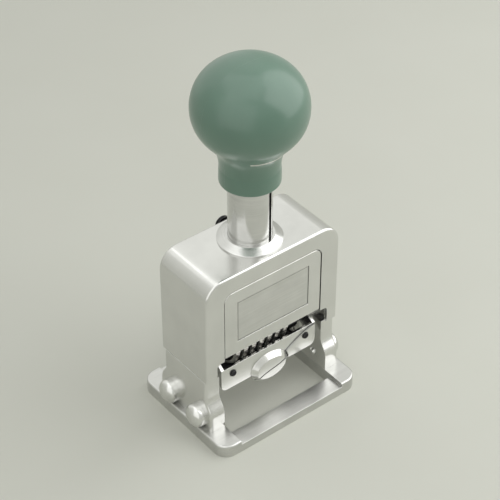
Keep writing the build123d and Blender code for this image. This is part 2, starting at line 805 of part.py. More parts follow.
with BuildPart() as detent_springs:
    strip_line = detent_bar_front + detent_bar_depth + detent_thickness / 2
    for centre in drum_centres:
        finger_left = centre - drum_width / 2 - ratchet_width
        with BuildSketch(Plane.YZ.offset(finger_left)):
            with BuildLine():
                Polyline(
                    (strip_line, detent_bar_height + detent_seat),
                    (strip_line, detent_bar_height),
                    orbit(ratchet_tip + detent_thickness, detent_angle),
                )
            trace(line_width=detent_thickness)
        extrude(amount=finger_width)
save(detent_springs, "detent_springs")

# ================================================================ feed yoke
rod_place = orbit(pawl_rod_orbit, yoke_angle)
with BuildPart() as feed_yoke:
    with BuildSketch(Plane.YZ.offset(yoke_inner)):
        with Locations((0, axle_height)):
            Circle(yoke_boss)
        with Locations(rod_place):
            Circle(pawl_sleeve)
        make_hull()
    extrude(amount=yoke_thickness)
    mirror(about=Plane.YZ)
    with BuildSketch(Plane.YZ.offset(-yoke_inner)):
        with Locations(rod_place):
            Circle(pawl_rod_radius)
    extrude(amount=2 * yoke_inner)
    with BuildSketch(Plane.YZ.offset(-cheek_inner)):
        with Locations((0, axle_height)):
            Circle(axle_radius + shaft_gap)
    extrude(amount=2 * cheek_inner, mode=Mode.SUBTRACT)
save(feed_yoke, "feed_yoke")

with BuildPart() as feed_pawl:
    sleeve_left = first_wheel - drum_width / 2 - ratchet_width - slide_gap
    with BuildSketch(Plane.YZ.offset(sleeve_left)):
        with Locations(rod_place):
            Circle(pawl_sleeve)
            Circle(pawl_rod_radius + shaft_gap, mode=Mode.SUBTRACT)
    extrude(amount=counter_right - sleeve_left)
    finger_plane = Plane(
        origin=(0, *orbit(pawl_rod_orbit, yoke_angle)),
        x_dir=(1, 0, 0),
        z_dir=(0, sin(radians(yoke_angle)), -cos(radians(yoke_angle))),
    )
    with BuildSketch(finger_plane.offset(-(pawl_rod_radius + pawl_sleeve) / 2)):
        for centre in drum_centres:
            with Locations((centre - drum_width / 2 - ratchet_width, 0)):
                Rectangle(finger_width, finger_thickness, align=(Align.MIN, Align.CENTER))
    extrude(amount=-(pawl_rod_orbit - (pawl_rod_radius + pawl_sleeve) / 2 - ratchet_tip - slide_gap))
    with BuildSketch(finger_plane.offset(-(pawl_rod_radius + pawl_sleeve) / 2)):
        with Locations(((counter_left + counter_right) / 2, 0)):
            Rectangle(counter_finger_width, finger_thickness)
    extrude(amount=-(pawl_rod_orbit - (pawl_rod_radius + pawl_sleeve) / 2 - counter_tip - slide_gap))
save(feed_pawl, "feed_pawl")

# ================================================================ ink pad holder
with BuildPart() as pad_tray:
    with BuildSketch(Plane.XZ.offset(tray_front)):
        with Locations((0, axle_height - tray_top)):
            front = Rectangle(
                2 * tray_half_width, tray_bottom - tray_top, align=(Align.CENTER, Align.MAX)
            )
        fillet(front.vertices().group_by(Axis.Y)[0], tray_corner)
    extrude(amount=-tray_wall)
    with BuildSketch(Plane.XY.offset(axle_height - tray_bottom)):
        with Locations((0, -tray_front)):
            Rectangle(
                2 * tray_floor_half_width, tray_front + tray_rear, align=(Align.CENTER, Align.MIN)
            )
    extrude(amount=tray_floor + tray_lip)
    with BuildSketch(Plane.XY.offset(axle_height - tray_bottom + tray_floor)):
        with Locations((0, -tray_back)):
            Rectangle(
                2 * (tray_floor_half_width - tray_wall),
                tray_back + tray_rear - tray_wall,
                align=(Align.CENTER, Align.MIN),
            )
    extrude(amount=tray_lip, mode=Mode.SUBTRACT)
    with BuildSketch(Plane.YZ.offset(arm_inner)):
        with Locations((0, axle_height)):
            Circle(arm_boss)
        with Locations(orbit(cam_pin_orbit, cam_start)):
            Circle(2 * cam_pin_radius)
        with Locations((-tray_front, axle_height - tray_top)):
            Rectangle(
                tray_wall,
                tray_bottom - tray_top - tray_corner,
                align=(Align.MIN, Align.MAX),
            )
        make_hull()
        with Locations((0, axle_height)):
            Circle(axle_radius + shaft_gap, mode=Mode.SUBTRACT)
    extrude(amount=arm_thickness)
    mirror(about=Plane.YZ)
    with BuildSketch(Plane.XZ.offset(tray_front)):
        with Locations(*pad_rivet_places):
            Circle(rivet_radius + shaft_gap)
    extrude(amount=-tray_wall, mode=Mode.SUBTRACT)
save(pad_tray, "pad_tray")

with BuildPart() as ink_pad:
    with BuildSketch(Plane.XY.offset(axle_height - tray_bottom + tray_floor + felt_gap)):
        RectangleRounded(2 * pad_half_width, 2 * pad_half_depth, pad_corner)
    extrude(amount=tray_bottom - tray_floor - felt_gap - pad_top)
save(ink_pad, "ink_pad")

with BuildPart() as pad_retainer:
    retainer_bottom = axle_height - tray_bottom + retainer_lift
    retainer_top = axle_height - tray_top - retainer_edge
    retainer_right = tray_half_width - retainer_edge
    with BuildSketch(Plane.XZ.offset(tray_front)):
        with BuildLine():
            Spline(
                (tray_half_width - retainer_land, retainer_top),
                (retainer_high_x, axle_height - retainer_high_drop),
                (retainer_middle_x, axle_height - retainer_middle_drop),
                (retainer_low_x, axle_height - retainer_low_drop),
                (retainer_left, retainer_bottom),
            )
            FilletPolyline(
                (retainer_left, retainer_bottom),
                (retainer_right, retainer_bottom),
                (retainer_right, retainer_top),
                (tray_half_width - retainer_land, retainer_top),
                radius=[tray_corner, retainer_edge],
            )
        make_face()
        with Locations((0, axle_height - knob_drop)):
            Ellipse(knob_width / 2 + slide_gap, knob_height / 2 + slide_gap, mode=Mode.SUBTRACT)
        with Locations(pad_rivet_places[0]):
            Circle(rivet_radius + shaft_gap, mode=Mode.SUBTRACT)
    extrude(amount=retainer_thickness)
save(pad_retainer, "pad_retainer")

with BuildPart() as pad_rivets:
    for place, seat in zip(pad_rivet_places, (retainer_front, tray_front)):
        with BuildSketch(Plane.XZ.offset(tray_back)):
            with Locations(place):
                Circle(rivet_radius)
        extrude(amount=seat - tray_back)
        with BuildSketch(Plane.XZ.offset(seat)):
            with Locations(place):
                Circle(rivet_head)
        extrude(amount=rivet_head_height, taper=rivet_taper)
save(pad_rivets, "pad_rivets")

with BuildPart() as knob_core:
    with BuildSketch(Plane.XZ.offset(tray_front)):
        with Locations((0, axle_height - knob_drop)):
            Ellipse(knob_width / 2 - seam_depth, knob_height / 2 - seam_depth)
    with BuildSketch(Plane.XZ.offset(tray_front + knob_thickness - seam_depth)):
        with Locations((0, axle_height - knob_drop)):
            Ellipse(knob_width / 2 - knob_dome, knob_height / 2 - knob_dome)
    loft()

with BuildPart() as pad_knob:
    with BuildSketch(Plane.XZ.offset(tray_front)):
        with Locations((0, axle_height - knob_drop)):
            Ellipse(knob_width / 2, knob_height / 2)
    with BuildSketch(Plane.XZ.offset(tray_front + knob_thickness)):
        with Locations((0, axle_height - knob_drop)):
            Ellipse(knob_width / 2 - knob_dome, knob_height / 2 - knob_dome)
    loft()
    fillet(pad_knob.faces().sort_by(Axis.Y)[0].edges(), knob_edge)
    with BuildSketch(Plane.XZ.offset(tray_front)):
        with BuildLine():
            Spline(
                (seam_right_x, axle_height - seam_right_drop),
                (seam_middle_x, axle_height - seam_middle_drop),
                (seam_low_x, axle_height - seam_low_drop),
                (seam_left_x, axle_height - seam_left_drop),
            )
        trace(line_width=seam_width)
    extrude(amount=knob_thickness, mode=Mode.SUBTRACT)
    add(knob_core.part)
save(pad_knob, "pad_knob")

with BuildPart() as cam_pins:
    with BuildSketch(Plane.YZ.offset(arm_outer)):
        with Locations(orbit(cam_pin_orbit, cam_start)):
            Circle(cam_pin_radius)
    extrude(amount=cam_pin_tip - arm_outer)
    mirror(about=Plane.YZ)
save(cam_pins, "cam_pins")

# ================================================================ selector and lock
selector_front = -(head_rear + rear_plate_thickness + slide_gap)
selector_back = selector_front - selector_thickness
with BuildPart() as selector_lever:
    with BuildSketch(Plane.XZ.offset(selector_front)):
        with Locations((0, selector_height)):
            Circle(selector_hub)
        with Locations((0, selector_height + selector_reach)):
            Circle(selector_tip)
        make_hull()
        with Locations((0, selector_height)):
            Circle(selector_pin_radius + shaft_gap, mode=Mode.SUBTRACT)
    extrude(amount=-selector_thickness)
    with BuildSketch(Plane.XZ.offset(selector_back)):
        with Locations((0, selector_height + selector_reach - selector_stud_inset)):
            Circle(selector_stud)
    extrude(amount=-selector_stud_height)
    fillet(selector_lever.faces().sort_by(Axis.Y)[-1].edges(), selector_edge)
save(selector_lever, "selector_lever")

with BuildPart() as selector_pin:
    with BuildSketch(Plane.XZ.offset(-head_rear)):
        with Locations((0, selector_height)):
            Circle(selector_pin_radius)
    extrude(amount=selector_back + head_rear - slide_gap)
    with BuildSketch(Plane.XZ.offset(selector_back - slide_gap)):
        with Locations((0, selector_height)):
            Circle(selector_pin_head)
    extrude(amount=-selector_pin_head_height)
save(selector_pin, "selector_pin")

with BuildPart() as lock_button:
    lock_tip = stem_radius + shaft_gap + side_gap
    lock_seat = housing_half_depth + lock_travel + side_gap
    with BuildSketch(Plane.XZ.offset(-lock_tip)):
        with Locations((0, lock_height)):
            Circle(lock_radius)
    extrude(amount=lock_tip - lock_seat)
    with BuildSketch(Plane.XZ.offset(-lock_seat)):
        with Locations((0, lock_height)):
            Circle(lock_cap_radius)
    extrude(amount=-lock_cap_thickness)
    fillet(lock_button.faces().sort_by(Axis.Y)[-1].edges(), lock_edge)
save(lock_button, "lock_button")

# ================================================================ screws
with BuildPart() as one_base_screw:
    with BuildSketch(Plane.XZ):
        with BuildLine():
            Polyline(
                (0, shaft_gap),
                (screw_head - shaft_gap, shaft_gap),
                (screw_shank, cone_depth + shaft_gap),
                (screw_shank, base_screw_top),
                (0, base_screw_top),
                close=True,
            )
        make_face()
    revolve(axis=Axis.Z)

with BuildPart() as base_screws:
    with GridLocations(2 * leg_middle, 2 * base_screw_row, 2, 2):
        add(one_base_screw.part)
save(base_screws, "base_screws")

with BuildPart() as housing_screws:
    with BuildSketch(Plane.XZ.offset(-housing_half_depth)):
        with Locations(*rear_screw_places, *mirrored_screw_places):
            Circle(screw_shank)
    extrude(amount=screw_bite - screw_gap)
    with BuildSketch(Plane.XZ.offset(-housing_half_depth)):
        with Locations(*rear_screw_places, *mirrored_screw_places):
            Circle(rear_screw_head)
    extrude(amount=-rear_screw_head_height)
    fillet(housing_screws.faces().group_by(Axis.Y)[-1].edges(), rear_screw_edge)
save(housing_screws, "housing_screws")
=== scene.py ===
"""Looks of a desk numbering machine, dressed and completed around its packed frame.

Everything is in metres and stands where the frame puts it: X runs to the right, -Y is the front
and Z is up. The frame's own pieces keep their shape and place and get their finish here. Raised
figures, slotted screws, the wound spring and the felt pad are made here and ride on its bodies.
"""

import logging
import math
from collections.abc import Callable, Iterable, Sequence
from dataclasses import dataclass, replace
from enum import Enum
from functools import partial
from typing import Any

import bmesh
import bpy
from mathutils import Matrix, Vector, noise


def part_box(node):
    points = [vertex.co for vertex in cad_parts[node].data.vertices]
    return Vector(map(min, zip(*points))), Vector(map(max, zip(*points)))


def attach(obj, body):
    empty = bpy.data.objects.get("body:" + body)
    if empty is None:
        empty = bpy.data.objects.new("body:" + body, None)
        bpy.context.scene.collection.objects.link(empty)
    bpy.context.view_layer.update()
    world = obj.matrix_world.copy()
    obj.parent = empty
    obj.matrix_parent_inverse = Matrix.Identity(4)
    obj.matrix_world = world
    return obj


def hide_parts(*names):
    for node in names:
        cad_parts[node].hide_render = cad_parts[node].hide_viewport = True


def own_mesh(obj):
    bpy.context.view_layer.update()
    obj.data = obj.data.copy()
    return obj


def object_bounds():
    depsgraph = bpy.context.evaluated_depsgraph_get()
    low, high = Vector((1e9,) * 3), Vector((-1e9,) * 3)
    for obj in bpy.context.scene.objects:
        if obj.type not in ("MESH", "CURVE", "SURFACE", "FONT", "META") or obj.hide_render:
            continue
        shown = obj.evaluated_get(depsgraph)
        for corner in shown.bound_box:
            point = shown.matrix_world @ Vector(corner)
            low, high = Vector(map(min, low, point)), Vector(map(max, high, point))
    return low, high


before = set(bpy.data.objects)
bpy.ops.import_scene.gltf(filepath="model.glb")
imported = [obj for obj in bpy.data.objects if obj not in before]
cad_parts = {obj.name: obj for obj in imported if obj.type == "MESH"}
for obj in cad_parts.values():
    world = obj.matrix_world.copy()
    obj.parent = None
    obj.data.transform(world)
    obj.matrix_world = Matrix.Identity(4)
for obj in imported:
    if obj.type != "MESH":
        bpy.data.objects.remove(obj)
CAD_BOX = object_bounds()

LOG = logging.getLogger("numbering_machine")
MM = 0.001
FULL_TURN = 2 * math.pi

Colour = tuple[float, float, float, float]
Spot = tuple[float, float, float]
Pair = tuple[float, float]
Node = bpy.types.Node
Socket = bpy.types.NodeSocket
AddNode = Callable[..., Node]

# Settings that many nodes share. A mix node of colours takes its colours at inputs 6 and 7.
RGBA = {"data_type": "RGBA"}
LINEAR = {"interpolation_type": "LINEAR"}
SMOOTH = {"interpolation_type": "SMOOTHSTEP"}
SMOOTHER = {"interpolation_type": "SMOOTHERSTEP"}
MULTIPLY, MULTIPLY_ADD, SUBTRACT, ABSOLUTE, MAXIMUM, LENGTH, DOT_PRODUCT = (
    {"operation": name}
    for name in (
        "MULTIPLY", "MULTIPLY_ADD", "SUBTRACT", "ABSOLUTE", "MAXIMUM", "LENGTH", "DOT_PRODUCT",
    )
)
# Nearly all of a noise pattern's values lie in the wide span, and most of them in the narrow one.
WIDE_SPAN = (0.3, 0.7)
NARROW_SPAN = (0.35, 0.65)


def linear_colour(hex_code: str) -> Colour:
    """Turn an sRGB hex code into the linear colour that shaders take.

    Args:
        hex_code: Colour such as "#8FA39A".

    Returns:
        Linear red, green, blue and an alpha of one.
    """
    channels = [int(hex_code[start : start + 2], 16) / 255 for start in (1, 3, 5)]
    red, green, blue = (
        value / 12.92 if value <= 0.04045 else ((value + 0.055) / 1.055) ** 2.4
        for value in channels
    )
    return (red, green, blue, 1.0)


def per_mm(size: float) -> float:
    """Give the texture scale at which one feature is as wide as a real size in millimetres."""
    return 1.0 / (size * MM)


def mapped(source: Pair, result: Pair = (0.0, 1.0)) -> dict[str, float]:
    """Give the socket values that map one span of values onto another."""
    return dict(zip(("From Min", "From Max", "To Min", "To Max"), source + result))


def add_node(
    tree: bpy.types.NodeTree,
    kind: str,
    settings: dict[str, Any] | None = None,
    values: dict[str | int, Any] | None = None,
    links: dict[str | int, Node | Socket] | None = None,
) -> Node:
    """Add one node with its settings, its socket values and its incoming links.

    Args:
        tree: Node tree that gets the node.
        kind: Blender's type name of the node, without the beginning that all shader nodes share.
        settings: Properties of the node itself.
        values: Values for input sockets, by name or index. A text is the hex code of a colour.
        links: Outputs to link into input sockets, by name or index. A node gives its first one
            that is in use.

    Returns:
        The new node.
    """
    node = tree.nodes.new(f"ShaderNode{kind}")
    for name, value in (settings or {}).items():
        setattr(node, name, value)
    for socket, value in (values or {}).items():
        value = linear_colour(value) if isinstance(value, str) else value
        node.inputs[socket].default_value = value
    for socket, source in (links or {}).items():
        if isinstance(source, Node):
            source = next(output for output in source.outputs if output.enabled)
        tree.links.new(source, node.inputs[socket])
    return node


class Worked(Enum):
    """Direction in which a metal surface was worked, as the axes that its lines follow."""

    ALONG_X = (1, 0, 0)
    ALONG_Z = (0, 0, 1)
    ROUND_Z = (1, 1, 0)
    ROUND_X = (0, 1, 1)
    NOWHERE = (0, 0, 0)


@dataclass(frozen=True)
class Grain:
    """Lines that the working of a metal leaves, in real millimetres, and how dark they show."""

    direction: Worked = Worked.NOWHERE
    width: float = 0.12
    length: float = 9.0
    depth: float = 0.0012
    contrast: float = 0.08

    def scale(self) -> Spot:
        """Give the stretch of the lines along X, Y and Z, long along the working direction."""
        long, wide = per_mm(self.length), per_mm(self.width)
        return tuple(long if along else wide for along in self.direction.value)


@dataclass(frozen=True)
class Finish:
    """A surface finish that builds its node material once and hands it out by name."""

    name: str = "finish"

    def material(self) -> bpy.types.Material:
        """Find or build the material.

        Returns:
            The material of this finish.
        """
        made = bpy.data.materials.get(self.name)
        if made is None:
            made = bpy.data.materials.new(self.name)
            made.use_nodes = True
            made.node_tree.nodes.clear()
            add = partial(add_node, made.node_tree)
            add("OutputMaterial", links={"Surface": self.surface(add)})
        return made

    def surface(self, add: AddNode) -> Node:
        """Build the shader of this finish.

        Args:
            add: Adds a node to the material.

        Returns:
            The shader node whose first output is the surface.
        """
        raise NotImplementedError


@dataclass(frozen=True)
class Metal(Finish):
    """Bare or plated metal: how it was worked, its edge tone, and painted shade in its creases.

    The tones are those of open metal, of its clouds and of its edges. Sizes are real millimetres.
    Real grain lines are about 0.05 mm wide, too fine to show when the whole machine is in view, so
    the plates' lines are drawn 0.3 to 0.4 mm wide. Two cosines say how far an edge turns where the
    edge tone starts and where it's full. That tone is real wear where black oxide rubs through to
    steel, a painted highlight where it is lighter on bright metal and painted shade where it is
    dark.
    Creases are darkened by ambient occlusion, as painted shade, when the crease reach isn't zero.
    The polish varies with clouds and lines, and line_share is the lines' part in it.
    """

    tones: tuple[str, str, str] = ("#E9E9E7", "#D6D6D4", "#F6F6F5")
    roughness: Pair = (0.15, 0.26)
    grain: Grain = Grain()
    line_share: float = 0.35
    cloud_size: float = 9.0
    pit_size: float = 0.5
    pit_depth: float = 0.0008
    edge_radius: float = 0.22
    # Edge tone: real wear on black oxide, a painted highlight on bright metal, painted shade when
    # dark.
    worn_turn: Pair = (0.99, 0.86)
    worn_share: float = 0.8
    # Painted shade in creases, darkened by ambient occlusion.
    crease_tone: str = "#2F302F"
    crease_reach: float = 0.0
    crease_own: bool = True
    crease_openness: Pair = (0.9, 0.6)
    crease_share: float = 0.9

    def surface(self, add: AddNode) -> Node:
        """Build a metal shader with clouded polish, grain lines, an edge tone and painted shade in
        creases.

        Args:
            add: Adds a node to the material.

        Returns:
            The shader node.
        """
        place = add("TexCoord").outputs["Object"]
        stretched = add("VectorMath", MULTIPLY, {1: self.grain.scale()}, {0: place})
        cloud, lines, pits = (
            add("TexNoise", None, {"Scale": scale, "Detail": detail, "Roughness": rough}, {0: spot})
            for scale, detail, rough, spot in (
                (per_mm(self.cloud_size), 3.0, 0.55, place),
                (1.0, 2.0, 0.6, stretched),
                (per_mm(self.pit_size), 2.0, 0.5, place),
            )
        )
        rounded = add("Bevel", {"samples": 6}, {"Radius": self.edge_radius * MM})
        flat = add("NewGeometry").outputs["Normal"]
        turned = add("VectorMath", DOT_PRODUCT, links={0: rounded, 1: flat})
        # Edge tone: real wear on black oxide, a painted highlight on lighter bright metal, painted
        # shade when dark.
        edge = add("MapRange", SMOOTH, mapped(self.worn_turn, (0.0, self.worn_share)), {0: turned})
        tone, shade, edge_tone = self.tones
        clouded = add("Mix", RGBA, {6: tone, 7: shade}, {0: cloud})
        marks = add("MapRange", LINEAR, mapped(WIDE_SPAN, (0.0, self.grain.contrast)), {0: lines})
        darkened = RGBA | {"blend_type": "MULTIPLY"}
        lined = add("Mix", darkened, {7: shade}, {0: marks, 6: clouded})
        edge_wear_and_light = add("Mix", RGBA, {7: edge_tone}, {0: edge, 6: lined})
        # Painted shade: creases darkened by ambient occlusion.
        if self.crease_reach:
            edge_wear_and_light = self.inked_creases(add, edge_wear_and_light)
        mixed = add("Math", MULTIPLY_ADD, {1: self.line_share, 2: 0.0}, {0: lines})
        uneven = add("Math", MULTIPLY_ADD, {1: 1.0 - self.line_share}, {0: cloud, 2: mixed})
        roughness = add("MapRange", LINEAR, mapped(NARROW_SPAN, self.roughness), {0: uneven})
        normal = rounded
        for height, depth in ((pits, self.pit_depth), (lines, self.grain.depth)):
            bump = {"Height": height, "Normal": normal}
            normal = add("Bump", None, {"Distance": depth * MM}, bump)
        links = {"Base Color": edge_wear_and_light, "Roughness": roughness, "Normal": normal}
        return add("BsdfPrincipled", None, {"Metallic": 1.0}, links)

    def inked_creases(self, add: AddNode, tone: Node) -> Node:
        """Paint shade into the creases, darkening them by ambient occlusion.

        Args:
            add: Adds a node to the material.
            tone: Colour of the open metal.

        Returns:
            The node that gives the metal's colour, with painted shade in its creases.
        """
        reach = {"Distance": self.crease_reach * MM}
        nearby = {"samples": 8, "only_local": self.crease_own}
        openness = add("AmbientOcclusion", nearby, reach).outputs["AO"]
        depth = mapped(self.crease_openness, (0.0, self.crease_share))
        # Share of painted shade, rising where ambient occlusion finds a crease.
        ink = add("MapRange", SMOOTH, depth, {0: openness})
        return add("Mix", RGBA, {7: self.crease_tone}, {0: ink, 6: tone})


@dataclass(frozen=True)
class InkedSteel(Metal):
    """Steel that turns on the wheels' axle and carries ink, with its radii in millimetres."""

    ink: str = "#1B1922"
    ink_roughness: float = 0.38
    axle_height: float = 34.0

    def beyond(self, add: AddNode, near: float, far: float) -> Node:
        """Tell how far a point lies past a distance from the axle.

        Args:
            add: Adds a node to the material.
            near: Distance in millimetres up to which the answer is 0.
            far: Distance in millimetres from which the answer is 1.

        Returns:
            The node that gives the answer.
        """
        place = add("TexCoord").outputs["Object"]
        offset = add("VectorMath", SUBTRACT, {1: (0.0, 0.0, self.axle_height * MM)}, {0: place})
        across = add("VectorMath", MULTIPLY, {1: (0, 1, 1)}, {0: offset})
        radius = add("VectorMath", LENGTH, links={0: across})
        return add("MapRange", SMOOTH, mapped((near * MM, far * MM)), {0: radius})

    def under_ink(self, add: AddNode, steel: Node, share: Node) -> Node:
        """Lay ink over the steel.

        Args:
            add: Adds a node to the material.
            steel: Shader of the steel.
            share: Node that gives the share of ink.

        Returns:
            The shader node of both.
        """
        film = {"Base Color": self.ink, "Roughness": self.ink_roughness, "IOR": 1.48}
        return add("MixShader", links={0: share, 1: steel, 2: add("BsdfPrincipled", None, film)})


@dataclass(frozen=True)
class WheelSteel(InkedSteel):
    """Type wheels: blackened flanks and ratchets, with ground bright flats that ink has marked."""

    dark: str = "#3B3A3B"
    dark_roughness: float = 0.42
    flank_radius: float = 8.75
    rim_radius: float = 9.05
    smear_size: float = 1.5
    smear_span: Pair = (0.58, 0.8)
    smear_share: float = 0.4

    def surface(self, add: AddNode) -> Node:
        """Build bright flats over dark flanks, and smear a little ink on the flats.

        Args:
            add: Adds a node to the material.

        Returns:
            The shader node.
        """
        rim = self.beyond(add, self.flank_radius, self.rim_radius)
        blackened = {"Base Color": self.dark, "Metallic": 1.0, "Roughness": self.dark_roughness}
        flank = add("BsdfPrincipled", None, blackened)
        worked = add("MixShader", links={0: rim, 1: flank, 2: super().surface(add)})
        size = {"Scale": per_mm(self.smear_size), "Detail": 4.0, "Roughness": 0.65}
        blots = add("TexNoise", None, size, {0: add("TexCoord").outputs["Object"]})
        blot = mapped(self.smear_span, (0.0, self.smear_share))
        return self.under_ink(add, worked, add("MapRange", SMOOTH, blot, {0: blots}))


@dataclass(frozen=True)
class InkedFigures(InkedSteel):
    """Engraved type figures: bare steel at the root and a wiped film of ink on the face."""

    clean_radius: float = 10.1
    inked_radius: float = 10.45
    film: Pair = (0.3, 0.85)
    film_span: Pair = (0.38, 0.62)
    film_size: float = 1.1

    def surface(self, add: AddNode) -> Node:
        """Build the steel shader and lay patches of wiped ink over it far from the axle.

        Args:
            add: Adds a node to the material.

        Returns:
            The shader node.
        """
        face = self.beyond(add, self.clean_radius, self.inked_radius)
        size = {"Scale": per_mm(self.film_size), "Detail": 3.0}
        patches = add("TexNoise", None, size, {0: add("TexCoord").outputs["Object"]})
        film = add("MapRange", SMOOTH, mapped(self.film_span, self.film), {0: patches})
        share = add("Math", MULTIPLY, links={0: face, 1: film})
        return self.under_ink(add, super().surface(add), share)


@dataclass(frozen=True)
class PressedPanel(Metal):
    """Brushed panel pressed into a plate, with painted shade along its rim."""

    centre: Spot = (0.0, 0.0, 0.0)
    half_size: Spot = (0.01, 0.0, 0.005)
    # Painted shade along the rim: its tone, width, share and roughness.
    rim_tone: str = "#5E5F5B"
    rim_width: float = 0.55
    rim_share: float = 0.75
    rim_roughness: float = 0.5

    def surface(self, add: AddNode) -> Node:
        """Build the brushed metal and paint shade along the panel's rim.

        Args:
            add: Adds a node to the material.

        Returns:
            The shader node.
        """
        place = add("TexCoord").outputs["Object"]
        offset = add("VectorMath", SUBTRACT, {1: self.centre}, {0: place})
        folded = add("VectorMath", ABSOLUTE, links={0: offset})
        outward = add("VectorMath", SUBTRACT, {1: self.half_size}, {0: folded})
        apart = add("SeparateXYZ", links={0: outward}).outputs
        from_rim = add("Math", MAXIMUM, links={0: apart["X"], 1: apart["Z"]})
        # Painted shade: a dark band along the panel's rim.
        band = mapped((-self.rim_width * MM, 0.0), (0.0, self.rim_share))
        share = add("MapRange", SMOOTH, band, {0: from_rim})
        dull = {"Base Color": self.rim_tone, "Metallic": 1.0, "Roughness": self.rim_roughness}
        rim = add("BsdfPrincipled", None, dull)
        return add("MixShader", links={0: share, 1: super().surface(add), 2: rim})


@dataclass(frozen=True)
class MouldedThermoset(Finish):
    """Compression-moulded grey-green thermoset: dense, softly glossy and slightly mottled."""

    name: str = "thermoset_moulded_grey_green"
    tone: str = "#6A8B7A"
    deep_tone: str = "#618171"
    dust_tone: str = "#8CA296"
    dust_share: float = 0.08
    dust_slope: float = 0.1
    roughness: Pair = (0.28, 0.34)
    mottle_size: float = 13.0
    dust_size: float = 4.0
    skin_size: float = 3.5
    skin_depth: float = 0.003
    seam_width: float = 0.22
    seam_depth: float = 0.04

    def surface(self, add: AddNode) -> Node:
        """Build the plastic: flow mottle, a trace of dust, a moulded skin and its parting line.

        Args:
            add: Adds a node to the material.

        Returns:
            The shader node.
        """
        place = add("TexCoord").outputs["Object"]
        mottle, dust, skin = (
            add("TexNoise", None, {"Scale": per_mm(size), "Detail": detail, **swirl}, {0: place})
            for size, detail, swirl in (
                (self.mottle_size, 2.0, {"Distortion": 0.3}),
                (self.dust_size, 2.0, {}),
                (self.skin_size, 0.0, {}),
            )
        )
        facing = add("NewGeometry").outputs["Normal"]
        upward = add("SeparateXYZ", links={0: facing}).outputs["Z"]
        fall = mapped((self.dust_slope, 1.0), (0.0, self.dust_share))
        settled = add("MapRange", SMOOTH, fall, {0: upward})
        dusty = add("Math", MULTIPLY, links={0: settled, 1: dust})
        body = add("Mix", RGBA, {6: self.deep_tone, 7: self.tone}, {0: mottle})
        dusted = add("Mix", RGBA, {7: self.dust_tone}, {0: dusty, 6: body})
        roughness = add("MapRange", LINEAR, mapped(WIDE_SPAN, self.roughness), {0: mottle})
        across = add("SeparateXYZ", links={0: place}).outputs["Y"]
        off_seam = add("Math", ABSOLUTE, links={0: across})
        seam = add("MapRange", SMOOTH, mapped((self.seam_width * MM, 0.0)), {0: off_seam})
        moulded = add("Bump", None, {"Distance": self.skin_depth * MM}, {"Height": skin})
        depth = {"Distance": self.seam_depth * MM}
        parted = add("Bump", None, depth, {"Height": seam, "Normal": moulded})
        gloss = {"IOR": 1.58, "Coat Weight": 0.25, "Coat Roughness": 0.1}
        links = {"Base Color": dusted, "Roughness": roughness, "Normal": parted}
        return add("BsdfPrincipled", None, gloss, links)


@dataclass(frozen=True)
class Coating(Finish):
    """An even matt or glossy coating, faintly clouded and with a fine skin."""

    tone: str = "#ECEBE4"
    shade: str = "#DDDBD1"
    cloud_size: float = 2.0
    cloud_detail: float = 3.0
    skin_size: float = 0.5
    skin_depth: float = 0.004
    gloss: tuple[tuple[str, float], ...] = (("Roughness", 0.33), ("IOR", 1.52))

    def surface(self, add: AddNode) -> Node:
        """Build the coating with a faint cloud and a rippled skin.

        Args:
            add: Adds a node to the material.

        Returns:
            The shader node.
        """
        place = add("TexCoord").outputs["Object"]
        size = {"Scale": per_mm(self.cloud_size), "Detail": self.cloud_detail}
        cloud = add("TexNoise", None, size, {0: place})
        ripple = add("TexNoise", None, {"Scale": per_mm(self.skin_size)}, {0: place})
        tone = add("Mix", RGBA, {6: self.tone, 7: self.shade}, {0: cloud})
        skin = add("Bump", None, {"Distance": self.skin_depth * MM}, {"Height": ripple})
        return add("BsdfPrincipled", None, dict(self.gloss), {"Base Color": tone, "Normal": skin})


@dataclass(frozen=True)
class StudioBoard(Coating):
    """Pale matt board under the machine, which melts into the surround from near to far, in mm."""

    horizon: str = "#C9CAC2"
    unseen_level: float = 0.4
    near: float = 230.0
    far: float = 800.0

    def surface(self, add: AddNode) -> Node:
        """Build the board with a very soft cloud and a fine tooth, fading out with distance.

        Args:
            add: Adds a node to the material.

        Returns:
            The shader node.
        """
        board = super().surface(add)
        place = add("TexCoord").outputs["Object"]
        distance = add("VectorMath", LENGTH, links={0: place})
        faded = add("MapRange", SMOOTHER, mapped((self.near * MM, self.far * MM)), {0: distance})
        level = {"Strength": self.seen_level(add)}
        surround = add("Emission", None, {"Color": self.horizon}, level)
        return add("MixShader", links={0: faded, 1: board, 2: surround})

    def seen_level(self, add: AddNode) -> Node:
        """Give full strength to what eye, reflections and clear pieces see, and less to all else.

        Args:
            add: Adds a node to the material or world.

        Returns:
            The node that gives the strength.
        """
        path = add("LightPath").outputs
        seen: Node | Socket = path["Is Camera Ray"]
        for ray in ("Is Glossy Ray", "Is Transmission Ray"):
            seen = add("Math", MAXIMUM, links={0: seen, 1: path[ray]})
        return add("MapRange", LINEAR, {"To Min": self.unseen_level}, {0: seen})


